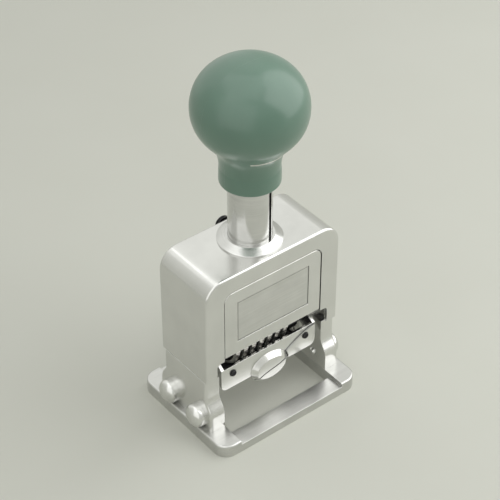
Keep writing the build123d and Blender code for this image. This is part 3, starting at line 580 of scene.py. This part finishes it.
@dataclass(frozen=True)
class InkedFelt(Finish):
    """Pressed wool felt soaked with ink: matted short fibres, darkest where the type strikes."""

    name: str = "wool_felt_pressed_inked"
    tone: str = "#2A2733"
    wet_tone: str = "#121019"
    roughness: Pair = (0.95, 0.6)
    fibre_width: float = 0.12
    fibre_length: float = 1.4
    mat_size: float = 2.2
    fibre_depth: float = 0.08

    def surface(self, add: AddNode) -> Node:
        """Build the felt from two crossed layers of fibres over a cloud of wetter ink.

        Args:
            add: Adds a node to the material.

        Returns:
            The shader node.
        """
        place = add("TexCoord").outputs["Object"]
        wide, long = per_mm(self.fibre_width), per_mm(self.fibre_length)
        tangle = {"Scale": 1.0, "Detail": 3.0, "Roughness": 0.7, "Distortion": 1.2}
        layers = {}
        for layer, scale in enumerate(((long, wide, wide), (wide, long, wide))):
            laid = add("VectorMath", MULTIPLY, {1: scale}, {0: place})
            layers[layer] = add("TexNoise", None, tangle, {0: laid})
        matted = add("Math", MAXIMUM, links=layers)
        size = {"Scale": per_mm(self.mat_size), "Detail": 3.0}
        wet = add("TexNoise", None, size, {0: place})
        soaked = add("MapRange", SMOOTH, mapped(NARROW_SPAN), {0: wet})
        tone = add("Mix", RGBA, {6: self.tone, 7: self.wet_tone}, {0: soaked})
        roughness = add("MapRange", LINEAR, mapped((0.0, 1.0), self.roughness), {0: soaked})
        raised = add("Bump", None, {"Distance": self.fibre_depth * MM}, {"Height": matted})
        sheen = {"Sheen Weight": 0.35, "Sheen Roughness": 0.5, "IOR": 1.45}
        links = {"Base Color": tone, "Roughness": roughness, "Normal": raised}
        return add("BsdfPrincipled", None, sheen, links)


# Bright nickel over a polished pressing: near-mirror, warm silver, clouded by handling.
BRIGHT_NICKEL = Metal(
    name="nickel_bright_plated",
    pit_size=2.4,
    pit_depth=0.002,
    cloud_size=14.0,
    edge_radius=0.3,
)
# The same nickel on the pad's retainer, with a dark line of painted shade along its edges.
SHADE_EDGED_NICKEL = replace(
    BRIGHT_NICKEL,
    name="nickel_bright_shade_edged",
    tones=("#E9E9E7", "#D6D6D4", "#353635"),
    edge_radius=0.45,
)
# The same nickel on the pad's knob, with painted shade in its seam.
CREASE_SHADED_NICKEL = replace(BRIGHT_NICKEL, name="nickel_bright_crease_shaded", crease_reach=0.8)
# The same nickel on the pad's tray: a dark line of painted shade where knob, rivets and retainer
# sit.
CONTACT_SHADED_NICKEL = replace(
    BRIGHT_NICKEL, name="nickel_bright_contact_shaded", crease_reach=0.9, crease_own=False
)
# Nickel over a ground base casting: the same silver, satin, with lines from the grinding belt.
SATIN_NICKEL = Metal(
    name="nickel_satin_plated",
    tones=("#DEDEDC", "#CBCBC9", "#F4F4F2"),
    roughness=(0.28, 0.37),
    grain=Grain(Worked.ALONG_X, width=0.4, length=24.0, depth=0.004, contrast=0.3),
    edge_radius=0.3,
)
# Steel sheet drawn over a belt: clear straight lines across the plate and a satin sheen.
BRUSHED_PLATE = Metal(
    name="steel_sheet_brushed",
    tones=("#E8E8E6", "#D2D2D0", "#F4F4F3"),
    roughness=(0.28, 0.36),
    grain=Grain(Worked.ALONG_X, width=0.34, length=22.0, depth=0.003, contrast=0.3),
)
# Bent steel cheeks of the head: brushed upright before bending.
BRUSHED_CHEEKS = Metal(
    name="steel_cheeks_brushed",
    tones=("#C6C6C3", "#A6A6A3", "#E4E4E1"),
    roughness=(0.3, 0.44),
    grain=Grain(Worked.ALONG_Z, width=0.34, length=16.0, depth=0.004, contrast=0.4),
)
# Steel turned and lapped round an upright axis: fine rings and a hard bright streak.
TURNED_UPRIGHT = Metal(
    name="steel_turned_upright",
    tones=("#E6E6E5", "#CECECC", "#F6F6F5"),
    grain=Grain(Worked.ROUND_Z, width=0.4, length=40.0, depth=0.003, contrast=0.3),
)
# Steel turned round a level axis: the same rings on the axle, pins and rods.
TURNED_LEVEL = Metal(
    name="steel_turned_level",
    tones=("#CFCFCD", "#ABABA9", "#EDEDEB"),
    roughness=(0.17, 0.26),
    grain=Grain(Worked.ROUND_X, length=30.0, depth=0.0016, contrast=0.16),
)
# Zinc die casting left plain: dull blue-grey with a fine chilled skin.
DIE_CAST_ZINC = Metal(
    name="zinc_die_cast",
    tones=("#9A9C9E", "#7F8183", "#B9BABB"),
    roughness=(0.42, 0.58),
    pit_size=0.6,
    pit_depth=0.02,
    cloud_size=5.0,
)
# Spring steel, drawn and tempered: brown-grey with draw lines.
TEMPERED_SPRING = Metal(
    name="spring_steel_tempered",
    tones=("#625E5A", "#494542", "#8B8782"),
    roughness=(0.28, 0.4),
    grain=Grain(Worked.ALONG_Z, length=3.0, depth=0.002, contrast=0.2),
    cloud_size=3.0,
    edge_radius=0.1,
)
# Steel blackened in hot oxide salts: satin black, rubbed to bare steel along the edges.
BLACK_OXIDE = Metal(
    name="steel_black_oxide",
    tones=("#3A3A3C", "#29292B", "#8F8E8A"),
    roughness=(0.3, 0.46),
    pit_size=0.35,
    pit_depth=0.004,
    cloud_size=4.0,
    edge_radius=0.16,
)
# Type wheels: flats ground bright across the wheel, so the row reads as pale bars and dark gaps.
WHEEL_STEEL = WheelSteel(
    name="steel_wheel_ground",
    tones=("#EFEEEB", "#DCDBD7", "#F6F5F3"),
    roughness=(0.34, 0.46),
    grain=Grain(Worked.ALONG_X, width=0.13, length=6.0, depth=0.002, contrast=0.16),
    cloud_size=3.0,
    edge_radius=0.12,
)
# Raised figures of the type, cut and hardened: bright steel flanks under a grey, wiped face.
FIGURE_STEEL = InkedFigures(
    name="steel_type_inked",
    tones=("#DEDCD8", "#C4C2BD", "#ECEAE6"),
    roughness=(0.3, 0.44),
    pit_size=0.3,
    cloud_size=2.0,
    edge_radius=0.05,
    ink="#1B1A20",
    ink_roughness=0.32,
)
# Moulded thermoset of the handle: soft grey-green, an even gloss and a faint parting line.
THERMOSET = MouldedThermoset()
# White stoved enamel wiped into a groove: even, slightly sunk and softly glossy.
ENAMEL = Coating(name="enamel_stoved_white")
# Felt soaked with ink: nearly black and matt, with a faint nap.
FELT = InkedFelt()
# Board under the machine: pale, matt and even.
BOARD = StudioBoard(
    name="display_board_matt",
    tone="#D9DAD1",
    shade="#D5D6CC",
    cloud_size=60.0,
    cloud_detail=2.0,
    skin_size=0.8,
    skin_depth=0.02,
    gloss=(("Roughness", 0.9), ("Specular IOR Level", 0.2)),
)

# Nodes of the frame, each with its finish.
Finishes = tuple[tuple[str, Finish], ...]
# Angle in degrees from which an edge of a turned or cut form stays sharp.
SHARP_ANGLE = 35.0


def dress(node: str, finish: Finish) -> None:
    """Give a node of the frame its finish and leave its shape alone.

    Args:
        node: Name of the frame's node.
        finish: Finish for all its material slots.
    """
    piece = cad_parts[node]
    if not piece.material_slots:
        piece.data.materials.append(None)
    for slot in piece.material_slots:
        slot.material = finish.material()
    LOG.info("%s dressed in %s", node, finish.name)


def in_scene(name: str, data: bpy.types.ID) -> bpy.types.Object:
    """Put a mesh, light or camera in the scene.

    Args:
        name: Name of its object.
        data: The mesh, light or camera.

    Returns:
        The object.
    """
    holder = bpy.data.objects.new(name, data)
    bpy.context.scene.collection.objects.link(holder)
    return holder


def new_piece(
    name: str, mesh: bpy.types.Mesh, finish: Finish, body: str
) -> bpy.types.Object:
    """Put a finished mesh in the scene as a piece that rides on a body.

    Args:
        name: Name of the piece.
        mesh: Its mesh, in place.
        finish: Its finish.
        body: Body of the frame that carries it.

    Returns:
        The piece.
    """
    mesh.name = name
    mesh.materials.clear()
    mesh.materials.append(finish.material())
    piece = in_scene(name, mesh)
    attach(piece, body)
    LOG.info("%s rides on %s: %d faces", name, body, len(mesh.polygons))
    return piece


def mesh_from(
    points: Iterable[Sequence[float]],
    faces: Iterable[Sequence[int]],
    smooth_angle: float = SHARP_ANGLE,
) -> bpy.types.Mesh:
    """Make a mesh from points and faces, smooth except across sharp edges.

    Args:
        points: Corner points.
        faces: Indices of the corners of each face.
        smooth_angle: Angle in degrees above which an edge stays sharp.

    Returns:
        The mesh.
    """
    mesh = bpy.data.meshes.new("form")
    mesh.from_pydata([tuple(point) for point in points], [], [tuple(face) for face in faces])
    mesh.validate()
    smooth(mesh, smooth_angle)
    return mesh


def mesh_of(form: bmesh.types.BMesh, mesh: bpy.types.Mesh | None = None) -> bpy.types.Mesh:
    """Write a form to a mesh and free the form.

    Args:
        form: Form to write.
        mesh: Mesh to write to, or None for a new one.

    Returns:
        The mesh.
    """
    mesh = mesh or bpy.data.meshes.new("form")
    form.to_mesh(mesh)
    form.free()
    return mesh


def smooth(mesh: bpy.types.Mesh, smooth_angle: float) -> None:
    """Shade a mesh smooth, keep the edges above an angle sharp and turn its faces outward.

    Args:
        mesh: Mesh to change.
        smooth_angle: Angle in degrees above which an edge stays sharp.
    """
    form = bmesh.new()
    form.from_mesh(mesh)
    bmesh.ops.recalc_face_normals(form, faces=form.faces)
    for face in form.faces:
        face.smooth = True
    for edge in form.edges:
        edge.smooth = edge.is_manifold and edge.calc_face_angle(0.0) < math.radians(smooth_angle)
    mesh_of(form, mesh)


def ring(centre: Vector, across: Vector, along: Vector, sides: int) -> list[Vector]:
    """Lay points round a centre.

    Args:
        centre: Middle of the ring.
        across: From the centre to the first point.
        along: From the centre to the point a quarter turn on.
        sides: Number of points.

    Returns:
        The points, in order.
    """
    angles = [FULL_TURN * side / sides for side in range(sides)]
    return [centre + math.cos(angle) * across + math.sin(angle) * along for angle in angles]


def join_rings(rings: Sequence[Sequence[Vector]]) -> tuple[list[Vector], list[Sequence[int]]]:
    """Join rings of points by bands of faces, and leave both ends open.

    Args:
        rings: Rings with the same number of points each.

    Returns:
        All their points, and the faces between them.
    """
    sides = len(rings[0])
    points = [point for circle in rings for point in circle]
    faces: list[Sequence[int]] = []
    for low in range(0, len(points) - sides, sides):
        for side in range(sides):
            following = (side + 1) % sides
            above = low + sides
            faces.append((low + side, low + following, above + following, above + side))
    return points, faces


def turned_form(profile: Sequence[Pair], sides: int = 48) -> bpy.types.Mesh:
    """Turn a profile round the Z axis into a closed form.

    Args:
        profile: Radius and height of each point, from the lower pole to the upper one.
        sides: Number of sides round the axis.

    Returns:
        The mesh.
    """
    points, faces = join_rings([
        ring(Vector((0, 0, height)), Vector((radius, 0, 0)), Vector((0, radius, 0)), sides)
        for radius, height in profile
    ])
    for first, (_, height) in ((0, profile[0]), (len(points) - sides, profile[-1])):
        pole = len(points)
        faces += [(first + side, first + (side + 1) % sides, pole) for side in range(sides)]
        points.append(Vector((0, 0, height)))
    return mesh_from(points, faces)


def box_form(low: Sequence[float], high: Sequence[float]) -> bpy.types.Mesh:
    """Make a closed box that cuts a slot.

    Args:
        low: Its lowest corner.
        high: Its highest corner.

    Returns:
        The mesh.
    """
    form = bmesh.new()
    sizes = [b - a for a, b in zip(low, high)]
    middle = [(a + b) / 2 for a, b in zip(low, high)]
    placed = Matrix.Translation(middle) @ Matrix.Diagonal((*sizes, 1.0))
    bmesh.ops.create_cube(form, size=1.0, matrix=placed)
    return mesh_of(form)


def cut_away(form: bpy.types.Mesh, cutter: bpy.types.Mesh) -> bpy.types.Mesh:
    """Cut one closed form out of another.

    Args:
        form: Form to be cut.
        cutter: Form to take away.

    Returns:
        What is left, as a new mesh.
    """
    whole, taken = (in_scene("cut", mesh) for mesh in (form, cutter))
    cut = whole.modifiers.new("cut", "BOOLEAN")
    cut.object = taken
    cut.operation = "DIFFERENCE"
    cut.solver = "EXACT"
    graph = bpy.context.evaluated_depsgraph_get()
    left = bpy.data.meshes.new_from_object(whole.evaluated_get(graph))
    for holder in (whole, taken):
        bpy.data.objects.remove(holder)
    smooth(left, SHARP_ANGLE)
    return left


def swept_wire(path: Sequence[Vector], radius: float, sides: int = 14) -> bpy.types.Mesh:
    """Sweep a round wire along a path and close its ends.

    Args:
        path: Points of the wire's centre line.
        radius: Radius of the wire.
        sides: Number of sides round the wire.

    Returns:
        The mesh.
    """
    rings = []
    upright = Vector((0, 0, 1))
    for index, centre in enumerate(path):
        ahead = path[min(index + 1, len(path) - 1)] - path[max(index - 1, 0)]
        across = ahead.cross(upright).normalized()
        lift = across.cross(ahead).normalized()
        rings.append(ring(centre, radius * across, radius * lift, sides))
    points, faces = join_rings(rings)
    faces += [range(sides), range(len(points) - sides, len(points))]
    return mesh_from(points, faces)


@dataclass(frozen=True)
class SlottedScrew:
    """A slotted machine screw: a shank and a head with a sawn slot, along Z with the head up.

    The outline of a domed head has a point every dome_step degrees.
    """

    head_radius: float
    head_height: float
    shank_radius: float = 1.4 * MM
    shank_length: float = 5.5 * MM
    countersunk: bool = False
    slot_width: float = 0.7 * MM
    slot_depth: float = 0.6 * MM
    slot_overshoot: float = 1.0 * MM
    edge: float = 0.14 * MM
    dome_step: int = 9

    def profile(self) -> list[Pair]:
        """Give the outline of shank and head.

        Returns:
            Radius and height of each point, from the tip up.
        """
        tip = [
            (self.shank_radius - 2 * self.edge, -self.shank_length),
            (self.shank_radius, -self.shank_length + 2 * self.edge),
        ]
        if self.countersunk:
            return tip + [
                (self.shank_radius, -self.head_height),
                (self.head_radius, -self.edge),
                (self.head_radius - self.edge, 0.0),
            ]
        rise = self.head_height - self.edge
        dome = [
            (self.head_radius * math.cos(turn), self.edge + rise * math.sin(turn))
            for turn in map(math.radians, range(0, 90 - self.dome_step, self.dome_step))
        ]
        return tip + [
            (self.shank_radius, 0.0),
            (self.head_radius - self.edge / 2, 0.0),
            (self.head_radius, self.edge / 2),
            *dome,
            (self.edge / 4, self.head_height),
        ]

    def form(self, slot_turn: float) -> bpy.types.Mesh:
        """Build one screw.

        Args:
            slot_turn: Angle in degrees by which its slot is turned.

        Returns:
            The mesh.
        """
        top = 0.0 if self.countersunk else self.head_height
        reach = self.head_radius + self.slot_overshoot
        half = self.slot_width / 2
        slot = box_form((-reach, -half, top - self.slot_depth), (reach, half, reach))
        slot.transform(Matrix.Rotation(math.radians(slot_turn), 4, "Z"))
        return cut_away(turned_form(self.profile()), slot)


@dataclass
class SubAssembly:
    """Pieces of the frame that belong together, each with its finish."""

    finishes: Finishes = ()

    def build(self) -> None:
        """Dress the pieces."""
        for node, finish in self.finishes:
            dress(node, finish)


@dataclass
class FixedFrame(SubAssembly):
    """Base, legs, housing and what is fixed in them, with screws left at any turn, in degrees."""

    finishes: Finishes = (
        ("base_frame", SATIN_NICKEL),
        ("left_side_frame", BRIGHT_NICKEL),
        ("right_side_frame", BRIGHT_NICKEL),
        ("housing_shell", BRIGHT_NICKEL),
        ("top_bridge", DIE_CAST_ZINC),
        ("guide_collar", TURNED_UPRIGHT),
        ("cross_key", BRUSHED_PLATE),
        ("spring_seat", TURNED_UPRIGHT),
        ("side_studs", BRIGHT_NICKEL),
    )
    rear_screw: SlottedScrew = SlottedScrew(head_radius=2.4 * MM, head_height=1.0 * MM)
    base_screw: SlottedScrew = SlottedScrew(
        head_radius=2.55 * MM, head_height=1.4 * MM, shank_length=7.7 * MM, countersunk=True
    )
    slot_turns: tuple[float, ...] = (18.0, 74.0, -32.0, 51.0)

    def build(self) -> None:
        """Dress the frame's pieces and seat its screws."""
        super().build()
        self.seat_rear_screws()
        self.seat_base_screws()

    def seat_rear_screws(self) -> None:
        """Put a slotted pan head in each corner of the housing's back."""
        low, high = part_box("housing_screws")
        low.y = high.y = high.y - self.rear_screw.head_height
        self.seat("rear_screw", self.rear_screw, "housing_screws", (low, high), (0, 1, 0))

    def seat_base_screws(self) -> None:
        """Put a countersunk screw up through each corner of the base into the foot of a leg."""
        low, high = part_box("base_screws")
        high.z = low.z
        self.seat("base_screw", self.base_screw, "base_screws", (low, high), (0, 0, -1))

    def seat(
        self, name: str, screw: SlottedScrew, node: str, field: tuple[Vector, Vector], facing: Spot
    ) -> None:
        """Make one screw in each corner of a flat field.

        Args:
            name: Common name of the screws.
            screw: Shape of the screws.
            node: Node of the frame that they stand for.
            field: Lowest and highest corner of the field, which their heads just fill.
            facing: Direction that the heads face.
        """
        inset = screw.head_radius
        columns, rows, levels = (
            (low + inset, high - inset) if low < high else (low,) for low, high in zip(*field)
        )
        places = [Vector((x, y, z)) for z in levels for y in rows for x in columns]
        turn = Vector(facing).to_track_quat("Z", "X").to_matrix().to_4x4()
        for number, (place, slot_turn) in enumerate(zip(places, self.slot_turns), start=1):
            form = screw.form(slot_turn)
            form.transform(Matrix.Translation(place) @ turn)
            piece = new_piece(f"{name}_{number}", form, TURNED_UPRIGHT, "frame")
            if number == 1:
                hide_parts(node)


@dataclass(frozen=True)
class ReturnSpring:
    """Compression spring of round wire with closed ends, between its seat and the plug."""

    wire_radius: float = 0.65 * MM
    working_turns: float = 7.5
    closed_turns: float = 1.0
    steps_per_turn: int = 36
    travel: float = 23.5 * MM

    def build(self) -> None:
        """Wind the spring and hang it on the frame."""
        low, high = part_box("return_spring")
        wire = swept_wire(self.path(low, high), self.wire_radius)
        piece = new_piece("wound_return_spring", wire, TEMPERED_SPRING, "frame")
        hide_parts("return_spring")
        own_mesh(piece)

    def path(self, low: Vector, high: Vector) -> list[Vector]:
        """Work out the centre line, with one closed turn at each end.

        Args:
            low: Lowest corner of the spring's space.
            high: Highest corner of the spring's space.

        Returns:
            Points along the wire.
        """
        wire = 2 * self.wire_radius
        radius = (high.x - low.x) / 2 - self.wire_radius
        working_rise = high.z - low.z - wire - 2 * wire * self.closed_turns
        turns = self.working_turns + 2 * self.closed_turns
        points = []
        for step in range(int(turns * self.steps_per_turn) + 1):
            turn = step / self.steps_per_turn
            working = min(max(turn - self.closed_turns, 0.0), self.working_turns)
            rise = (turn - working) * wire + working / self.working_turns * working_rise
            angle = turn * FULL_TURN
            height = low.z + self.wire_radius + rise
            points.append(Vector((radius * math.cos(angle), radius * math.sin(angle), height)))
        return points


@dataclass
class Plunger(SubAssembly):
    """Bulb handle with its white mark, and the slotted stem under it."""

    finishes: Finishes = (
        ("handle", THERMOSET),
        ("handle_index", ENAMEL),
        ("stem", TURNED_UPRIGHT),
        ("stem_nut", TURNED_UPRIGHT),
        ("spring_plug", TURNED_UPRIGHT),
    )
    spring: ReturnSpring = ReturnSpring()

    def build(self) -> None:
        """Dress the plunger and wind its spring."""
        super().build()
        self.spring.build()


@dataclass
class NumberHead(SubAssembly):
    """Head frame, plates, rods, axle and detents."""

    finishes: Finishes = (
        ("head_frame", BRUSHED_CHEEKS),
        ("face_plate", BRIGHT_NICKEL),
        ("rear_plate", BRUSHED_PLATE),
        ("tie_rods", TURNED_LEVEL),
        ("wheel_axle", TURNED_LEVEL),
        ("axle_nuts", BRIGHT_NICKEL),
        ("detent_bar", BRUSHED_PLATE),
        ("detent_springs", TEMPERED_SPRING),
        ("selector_pin", TURNED_LEVEL),
    )

    def build(self) -> None:
        """Dress the head's pieces, and the name panel with painted shade along its rim where the
        frame puts it.
        """
        super().build()
        low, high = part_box("name_panel")
        pressed = {
            "name": "steel_panel_pressed",
            "centre": tuple((low + high) / 2),
            "half_size": tuple((high - low) / 2),
        }
        dress("name_panel", PressedPanel(**vars(BRUSHED_PLATE) | pressed))


@dataclass
class TypeWheels(SubAssembly):
    """Seven number wheels with raised, mirrored figures, and the repeat ratchet beside them.

    All figures are as tall as figure_height. A figure that is plain_width wide in the font, at a
    size of one, gets figure_width, and a narrow 1 stays narrow.
    """

    finishes: Finishes = (
        *((f"number_wheel_{number}", WHEEL_STEEL) for number in range(1, 8)),
        ("repeat_ratchet", BLACK_OXIDE),
    )
    figures: int = 10
    shown: str = "0000426"
    figure_height: float = 4.3 * MM
    figure_width: float = 1.95 * MM
    plain_width: float = 0.56
    curve_steps: int = 5
    figure_rise: float = 0.6 * MM
    root_depth: float = 0.05 * MM
    drum_width: float = 2.3 * MM
    ratchet_width: float = 1.3 * MM
    axle_height: float = 34.0 * MM
    apothem: float = 9.9 * MM
    sharp_angle: float = 30.0

    def build(self) -> None:
        """Dress the wheels and raise ten figures on each."""
        super().build()
        glyphs = [self.glyph(digit) for digit in range(self.figures)]
        for number, shown in enumerate(self.shown, start=1):
            low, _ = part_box(f"number_wheel_{number}")
            centre = low.x + self.ratchet_width + self.drum_width / 2
            figures = self.ring_of_figures(centre, int(shown), glyphs)
            new_piece(f"figures_{number}", figures, FIGURE_STEEL, f"wheel_{number}")
        for glyph in glyphs:
            bpy.data.meshes.remove(glyph)

    def glyph(self, digit: int) -> bpy.types.Mesh:
        """Make one plain upright figure, from its root at z = 0 down to its printing face.

        Args:
            digit: The figure, from 0 to 9.

        Returns:
            Its mesh, centred on the Z axis.
        """
        curve = bpy.data.curves.new("figure", "FONT")
        curve.body = str(digit)
        curve.align_x = "CENTER"
        curve.align_y = "CENTER"
        curve.size = 1.0
        curve.resolution_u = self.curve_steps
        holder = bpy.data.objects.new("figure", curve)
        outline = bpy.data.meshes.new_from_object(holder)
        bpy.data.objects.remove(holder)
        (left, right), (bottom, top) = (
            (min(values), max(values))
            for values in ([vertex.co[axis] for vertex in outline.vertices] for axis in (0, 1))
        )
        across = self.figure_width / self.plain_width
        upright = self.figure_height / (top - bottom)
        outline.transform(
            Matrix.Diagonal((across, upright, 1.0, 1.0))
            @ Matrix.Translation((-(left + right) / 2, -(bottom + top) / 2, 0.0))
        )
        form = bmesh.new()
        form.from_mesh(outline)
        raised = bmesh.ops.extrude_face_region(form, geom=list(form.faces))
        moved = [item for item in raised["geom"] if isinstance(item, bmesh.types.BMVert)]
        drop = self.figure_rise + self.root_depth
        bmesh.ops.translate(form, verts=moved, vec=(0, 0, -drop))
        bmesh.ops.translate(form, verts=form.verts, vec=(0, 0, self.root_depth))
        return mesh_of(form, outline)

    def ring_of_figures(
        self, centre: float, shown: int, glyphs: list[bpy.types.Mesh]
    ) -> bpy.types.Mesh:
        """Set ten figures on the flats of one wheel.

        Args:
            centre: Middle of the wheel's drum, along X.
            shown: The figure that faces down.
            glyphs: The ten figures.

        Returns:
            The mesh of all ten, in place.
        """
        form = bmesh.new()
        for place in range(self.figures):
            figure = glyphs[(shown + place) % self.figures].copy()
            figure.transform(
                Matrix.Translation((centre, 0.0, self.axle_height))
                @ Matrix.Rotation(-FULL_TURN * place / self.figures, 4, "X")
                @ Matrix.Translation((0.0, 0.0, -self.apothem))
            )
            form.from_mesh(figure)
            bpy.data.meshes.remove(figure)
        mesh = mesh_of(form)
        smooth(mesh, self.sharp_angle)
        return mesh


@dataclass
class FeedMechanism(SubAssembly):
    """Yoke and stepped pawl that feed the wheels."""

    finishes: Finishes = (("feed_yoke", BRUSHED_CHEEKS), ("feed_pawl", BLACK_OXIDE))


@dataclass
class PadHolder(SubAssembly):
    """Swinging tray with its felt, retainer, rivets, finger knob and cam pins.

    The felt's lower edge is rounded less, by the share under_fall. The type strikes a bed along
    the pad's middle. The felt's nap is lowered by nap_sunk of its height, to stay in the pad's box.
    """

    finishes: Finishes = (
        ("pad_tray", CONTACT_SHADED_NICKEL),
        ("pad_retainer", SHADE_EDGED_NICKEL),
        ("pad_rivets", BLACK_OXIDE),
        ("pad_knob", CREASE_SHADED_NICKEL),
        ("cam_pins", TURNED_LEVEL),
    )
    felt_step: float = 0.35 * MM
    edge_radius: float = 0.55 * MM
    under_fall: float = 0.6
    nap_size: float = 1.3 * MM
    nap_height: float = 0.05 * MM
    nap_sunk: float = 0.6
    strike_depth: float = 0.12 * MM
    strike_half_length: float = 2.6 * MM
    strike_soft: float = 1.2 * MM
    strike_inset: float = 1.5 * MM
    sharp_angle: float = 70.0
    fill: float = 0.9

    def build(self) -> None:
        """Dress the holder and lay the felt in its tray."""
        super().build()
        felt = new_piece("felt_pad", self.felt_form(), FELT, "pad_holder")
        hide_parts("ink_pad")

    def felt_form(self) -> bpy.types.Mesh:
        """Build the felt: soft rounded edges, a matted nap and a shallow bed where type strikes.

        Returns:
            The closed mesh of the felt.
        """
        low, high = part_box("ink_pad")
        columns = int((high.x - low.x) / self.felt_step)
        rows = int((high.y - low.y) / self.felt_step)

        def index(side: int, column: int, row: int) -> int:
            """Give the index of a point on the lower (0) or upper (1) sheet."""
            return (side * (columns + 1) + column) * (rows + 1) + row

        points = [
            self.felt_point(column / columns, row / rows, side, low, high)
            for side in (0, 1)
            for column in range(columns + 1)
            for row in range(rows + 1)
        ]
        faces: list[Sequence[int]] = []
        for column in range(columns):
            for row in range(rows):
                end, top = column + 1, row + 1
                around = [(column, row), (end, row), (end, top), (column, top)]
                faces.append([index(0, *corner) for corner in around[::-1]])
                faces.append([index(1, *corner) for corner in around])
        rim = [(column, 0) for column in range(columns)]
        rim += [(columns, row) for row in range(rows)]
        rim += [(column, rows) for column in range(columns, 0, -1)]
        rim += [(0, row) for row in range(rows, 0, -1)]
        first = len(points)
        points += [(points[index(0, *here)] + points[index(1, *here)]) / 2 for here in rim]
        for place, here in enumerate(rim):
            following = (place + 1) % len(rim)
            beside = rim[following]
            faces.append((index(0, *here), index(0, *beside), first + following, first + place))
            faces.append((first + place, first + following, index(1, *beside), index(1, *here)))
        return mesh_from(points, faces, self.sharp_angle)

    def felt_point(
        self, across: float, along: float, side: int, low: Vector, high: Vector
    ) -> Vector:
        """Place one point of the felt's upper or lower sheet.

        Args:
            across: Share of the way across the pad.
            along: Share of the way along the pad.
            side: 0 for the lower sheet, 1 for the upper.
            low: Lowest corner of the pad's space.
            high: Highest corner of the pad's space.

        Returns:
            The point, rounded off toward the rim.
        """
        x = low.x + (high.x - low.x) * across
        y = low.y + (high.y - low.y) * along
        inward = min(x - low.x, high.x - x, y - low.y, high.y - y)
        share = max(0.0, 1.0 - inward / self.edge_radius)
        fall = self.edge_radius * (1.0 - math.sqrt(1.0 - share * share))
        if side == 0:
            return Vector((x, y, low.z + self.under_fall * fall))
        ripple = noise.noise(Vector((x, y, 0.0)) / self.nap_size)
        nap = self.nap_height * (ripple - self.nap_sunk)
        from_middle = abs(y - (low.y + high.y) / 2)
        struck = (self.strike_half_length + self.strike_soft - from_middle) / self.strike_soft
        ends = (high.x - abs(x) - self.strike_inset) / self.strike_soft
        struck = max(0.0, min(1.0, struck)) * max(0.0, min(1.0, ends))
        bed = self.strike_depth * struck * struck * (3 - 2 * struck)
        return Vector((x, y, high.z - fall + nap - bed))


@dataclass
class Controls(SubAssembly):
    """Repeat selector on the back of the head and lock button on the housing."""

    finishes: Finishes = (("selector_lever", BLACK_OXIDE), ("lock_button", BLACK_OXIDE))


@dataclass
class Lamp:
    """A soft square studio lamp, with its power in watts and its side in metres."""

    name: str
    place: Spot
    power: float
    size: float

    def build(self, target: Vector) -> None:
        """Hang the lamp and aim it at a point.

        Args:
            target: Point that it lights.
        """
        light = bpy.data.lights.new(self.name, "AREA")
        light.shape = "SQUARE"
        light.size = self.size
        light.energy = self.power
        holder = in_scene(self.name, light)
        holder.location = self.place
        holder.rotation_euler = (target - Vector(self.place)).to_track_quat("-Z", "Y").to_euler()


@dataclass
class Studio:
    """Pale floor, soft lamps, surround and camera, its angles in degrees and its lens in mm."""

    azimuth: float = -38.6
    elevation: float = 39.0
    focal_length: float = 120.6
    sensor: float = 36.0
    view_width: float = 0.196
    aim_height: float = 0.073
    floor_size: float = 4.0
    zenith: str = "#E6E7E1"
    zenith_height: float = 0.9
    lamps: tuple[Lamp, ...] = (
        Lamp("key_lamp", (0.46, -0.24, 0.44), 3.6, 0.9),
        Lamp("top_lamp", (-0.1, 0.1, 1.0), 1.9, 0.95),
        Lamp("left_fill", (-0.68, -0.3, 0.42), 2.0, 1.1),
        Lamp("rear_fill", (0.1, 0.8, 0.5), 0.9, 1.1),
    )

    def build(self) -> None:
        """Set up floor, light and camera."""
        self.lay_floor()
        self.light_surround()
        for lamp in self.lamps:
            lamp.build(Vector((0.0, 0.0, self.aim_height)))
        self.place_camera()
        bpy.context.scene.view_settings.view_transform = "Standard"

    def lay_floor(self) -> None:
        """Lay the pale board that the machine stands on."""
        half, level = self.floor_size / 2, CAD_BOX[0].z
        corners = ((-half, -half), (half, -half), (half, half), (-half, half))
        mesh = mesh_from([(x, y, level) for x, y in corners], [range(len(corners))])
        mesh.materials.append(BOARD.material())
        in_scene("floor", mesh)

    def light_surround(self) -> None:
        """Make a pale surround, paler overhead, that only fills softly where it isn't seen."""
        world = bpy.data.worlds.new("surround")
        world.use_nodes = True
        world.node_tree.nodes.clear()
        add = partial(add_node, world.node_tree)
        heading = add("TexCoord").outputs["Generated"]
        height = add("SeparateXYZ", links={0: heading}).outputs["Z"]
        overhead = add("MapRange", SMOOTH, {"From Max": self.zenith_height}, {0: height})
        tone = add("Mix", RGBA, {6: BOARD.horizon, 7: self.zenith}, {0: overhead})
        glow = add("Background", links={"Color": tone, "Strength": BOARD.seen_level(add)})
        add("OutputWorld", links={"Surface": glow})
        bpy.context.scene.world = world

    def place_camera(self) -> None:
        """Stand the camera at its viewing angle, far enough for the whole machine."""
        turn, rise = math.radians(self.azimuth), math.radians(self.elevation)
        level = math.cos(rise)
        back = Vector((math.sin(turn) * level, -math.cos(turn) * level, math.sin(rise)))
        distance = self.view_width * self.focal_length / self.sensor
        camera = bpy.data.cameras.new("camera")
        camera.lens = self.focal_length
        camera.sensor_width = self.sensor
        camera.dof.use_dof = False
        holder = in_scene("camera", camera)
        holder.location = Vector((0.0, 0.0, self.aim_height)) + back * distance
        holder.rotation_euler = (-back).to_track_quat("-Z", "Y").to_euler()
        bpy.context.scene.camera = holder


def main() -> None:
    """Build the studio and every sub-assembly."""
    logging.basicConfig(level=logging.INFO, format="%(name)s: %(message)s")
    Studio().build()
    kinds = (FixedFrame, Plunger, NumberHead, TypeWheels, FeedMechanism, PadHolder, Controls)
    for assembly in (kind() for kind in kinds):
        assembly.build()
        LOG.info("%s done", type(assembly).__name__)


if __name__ == "__main__":
    main()
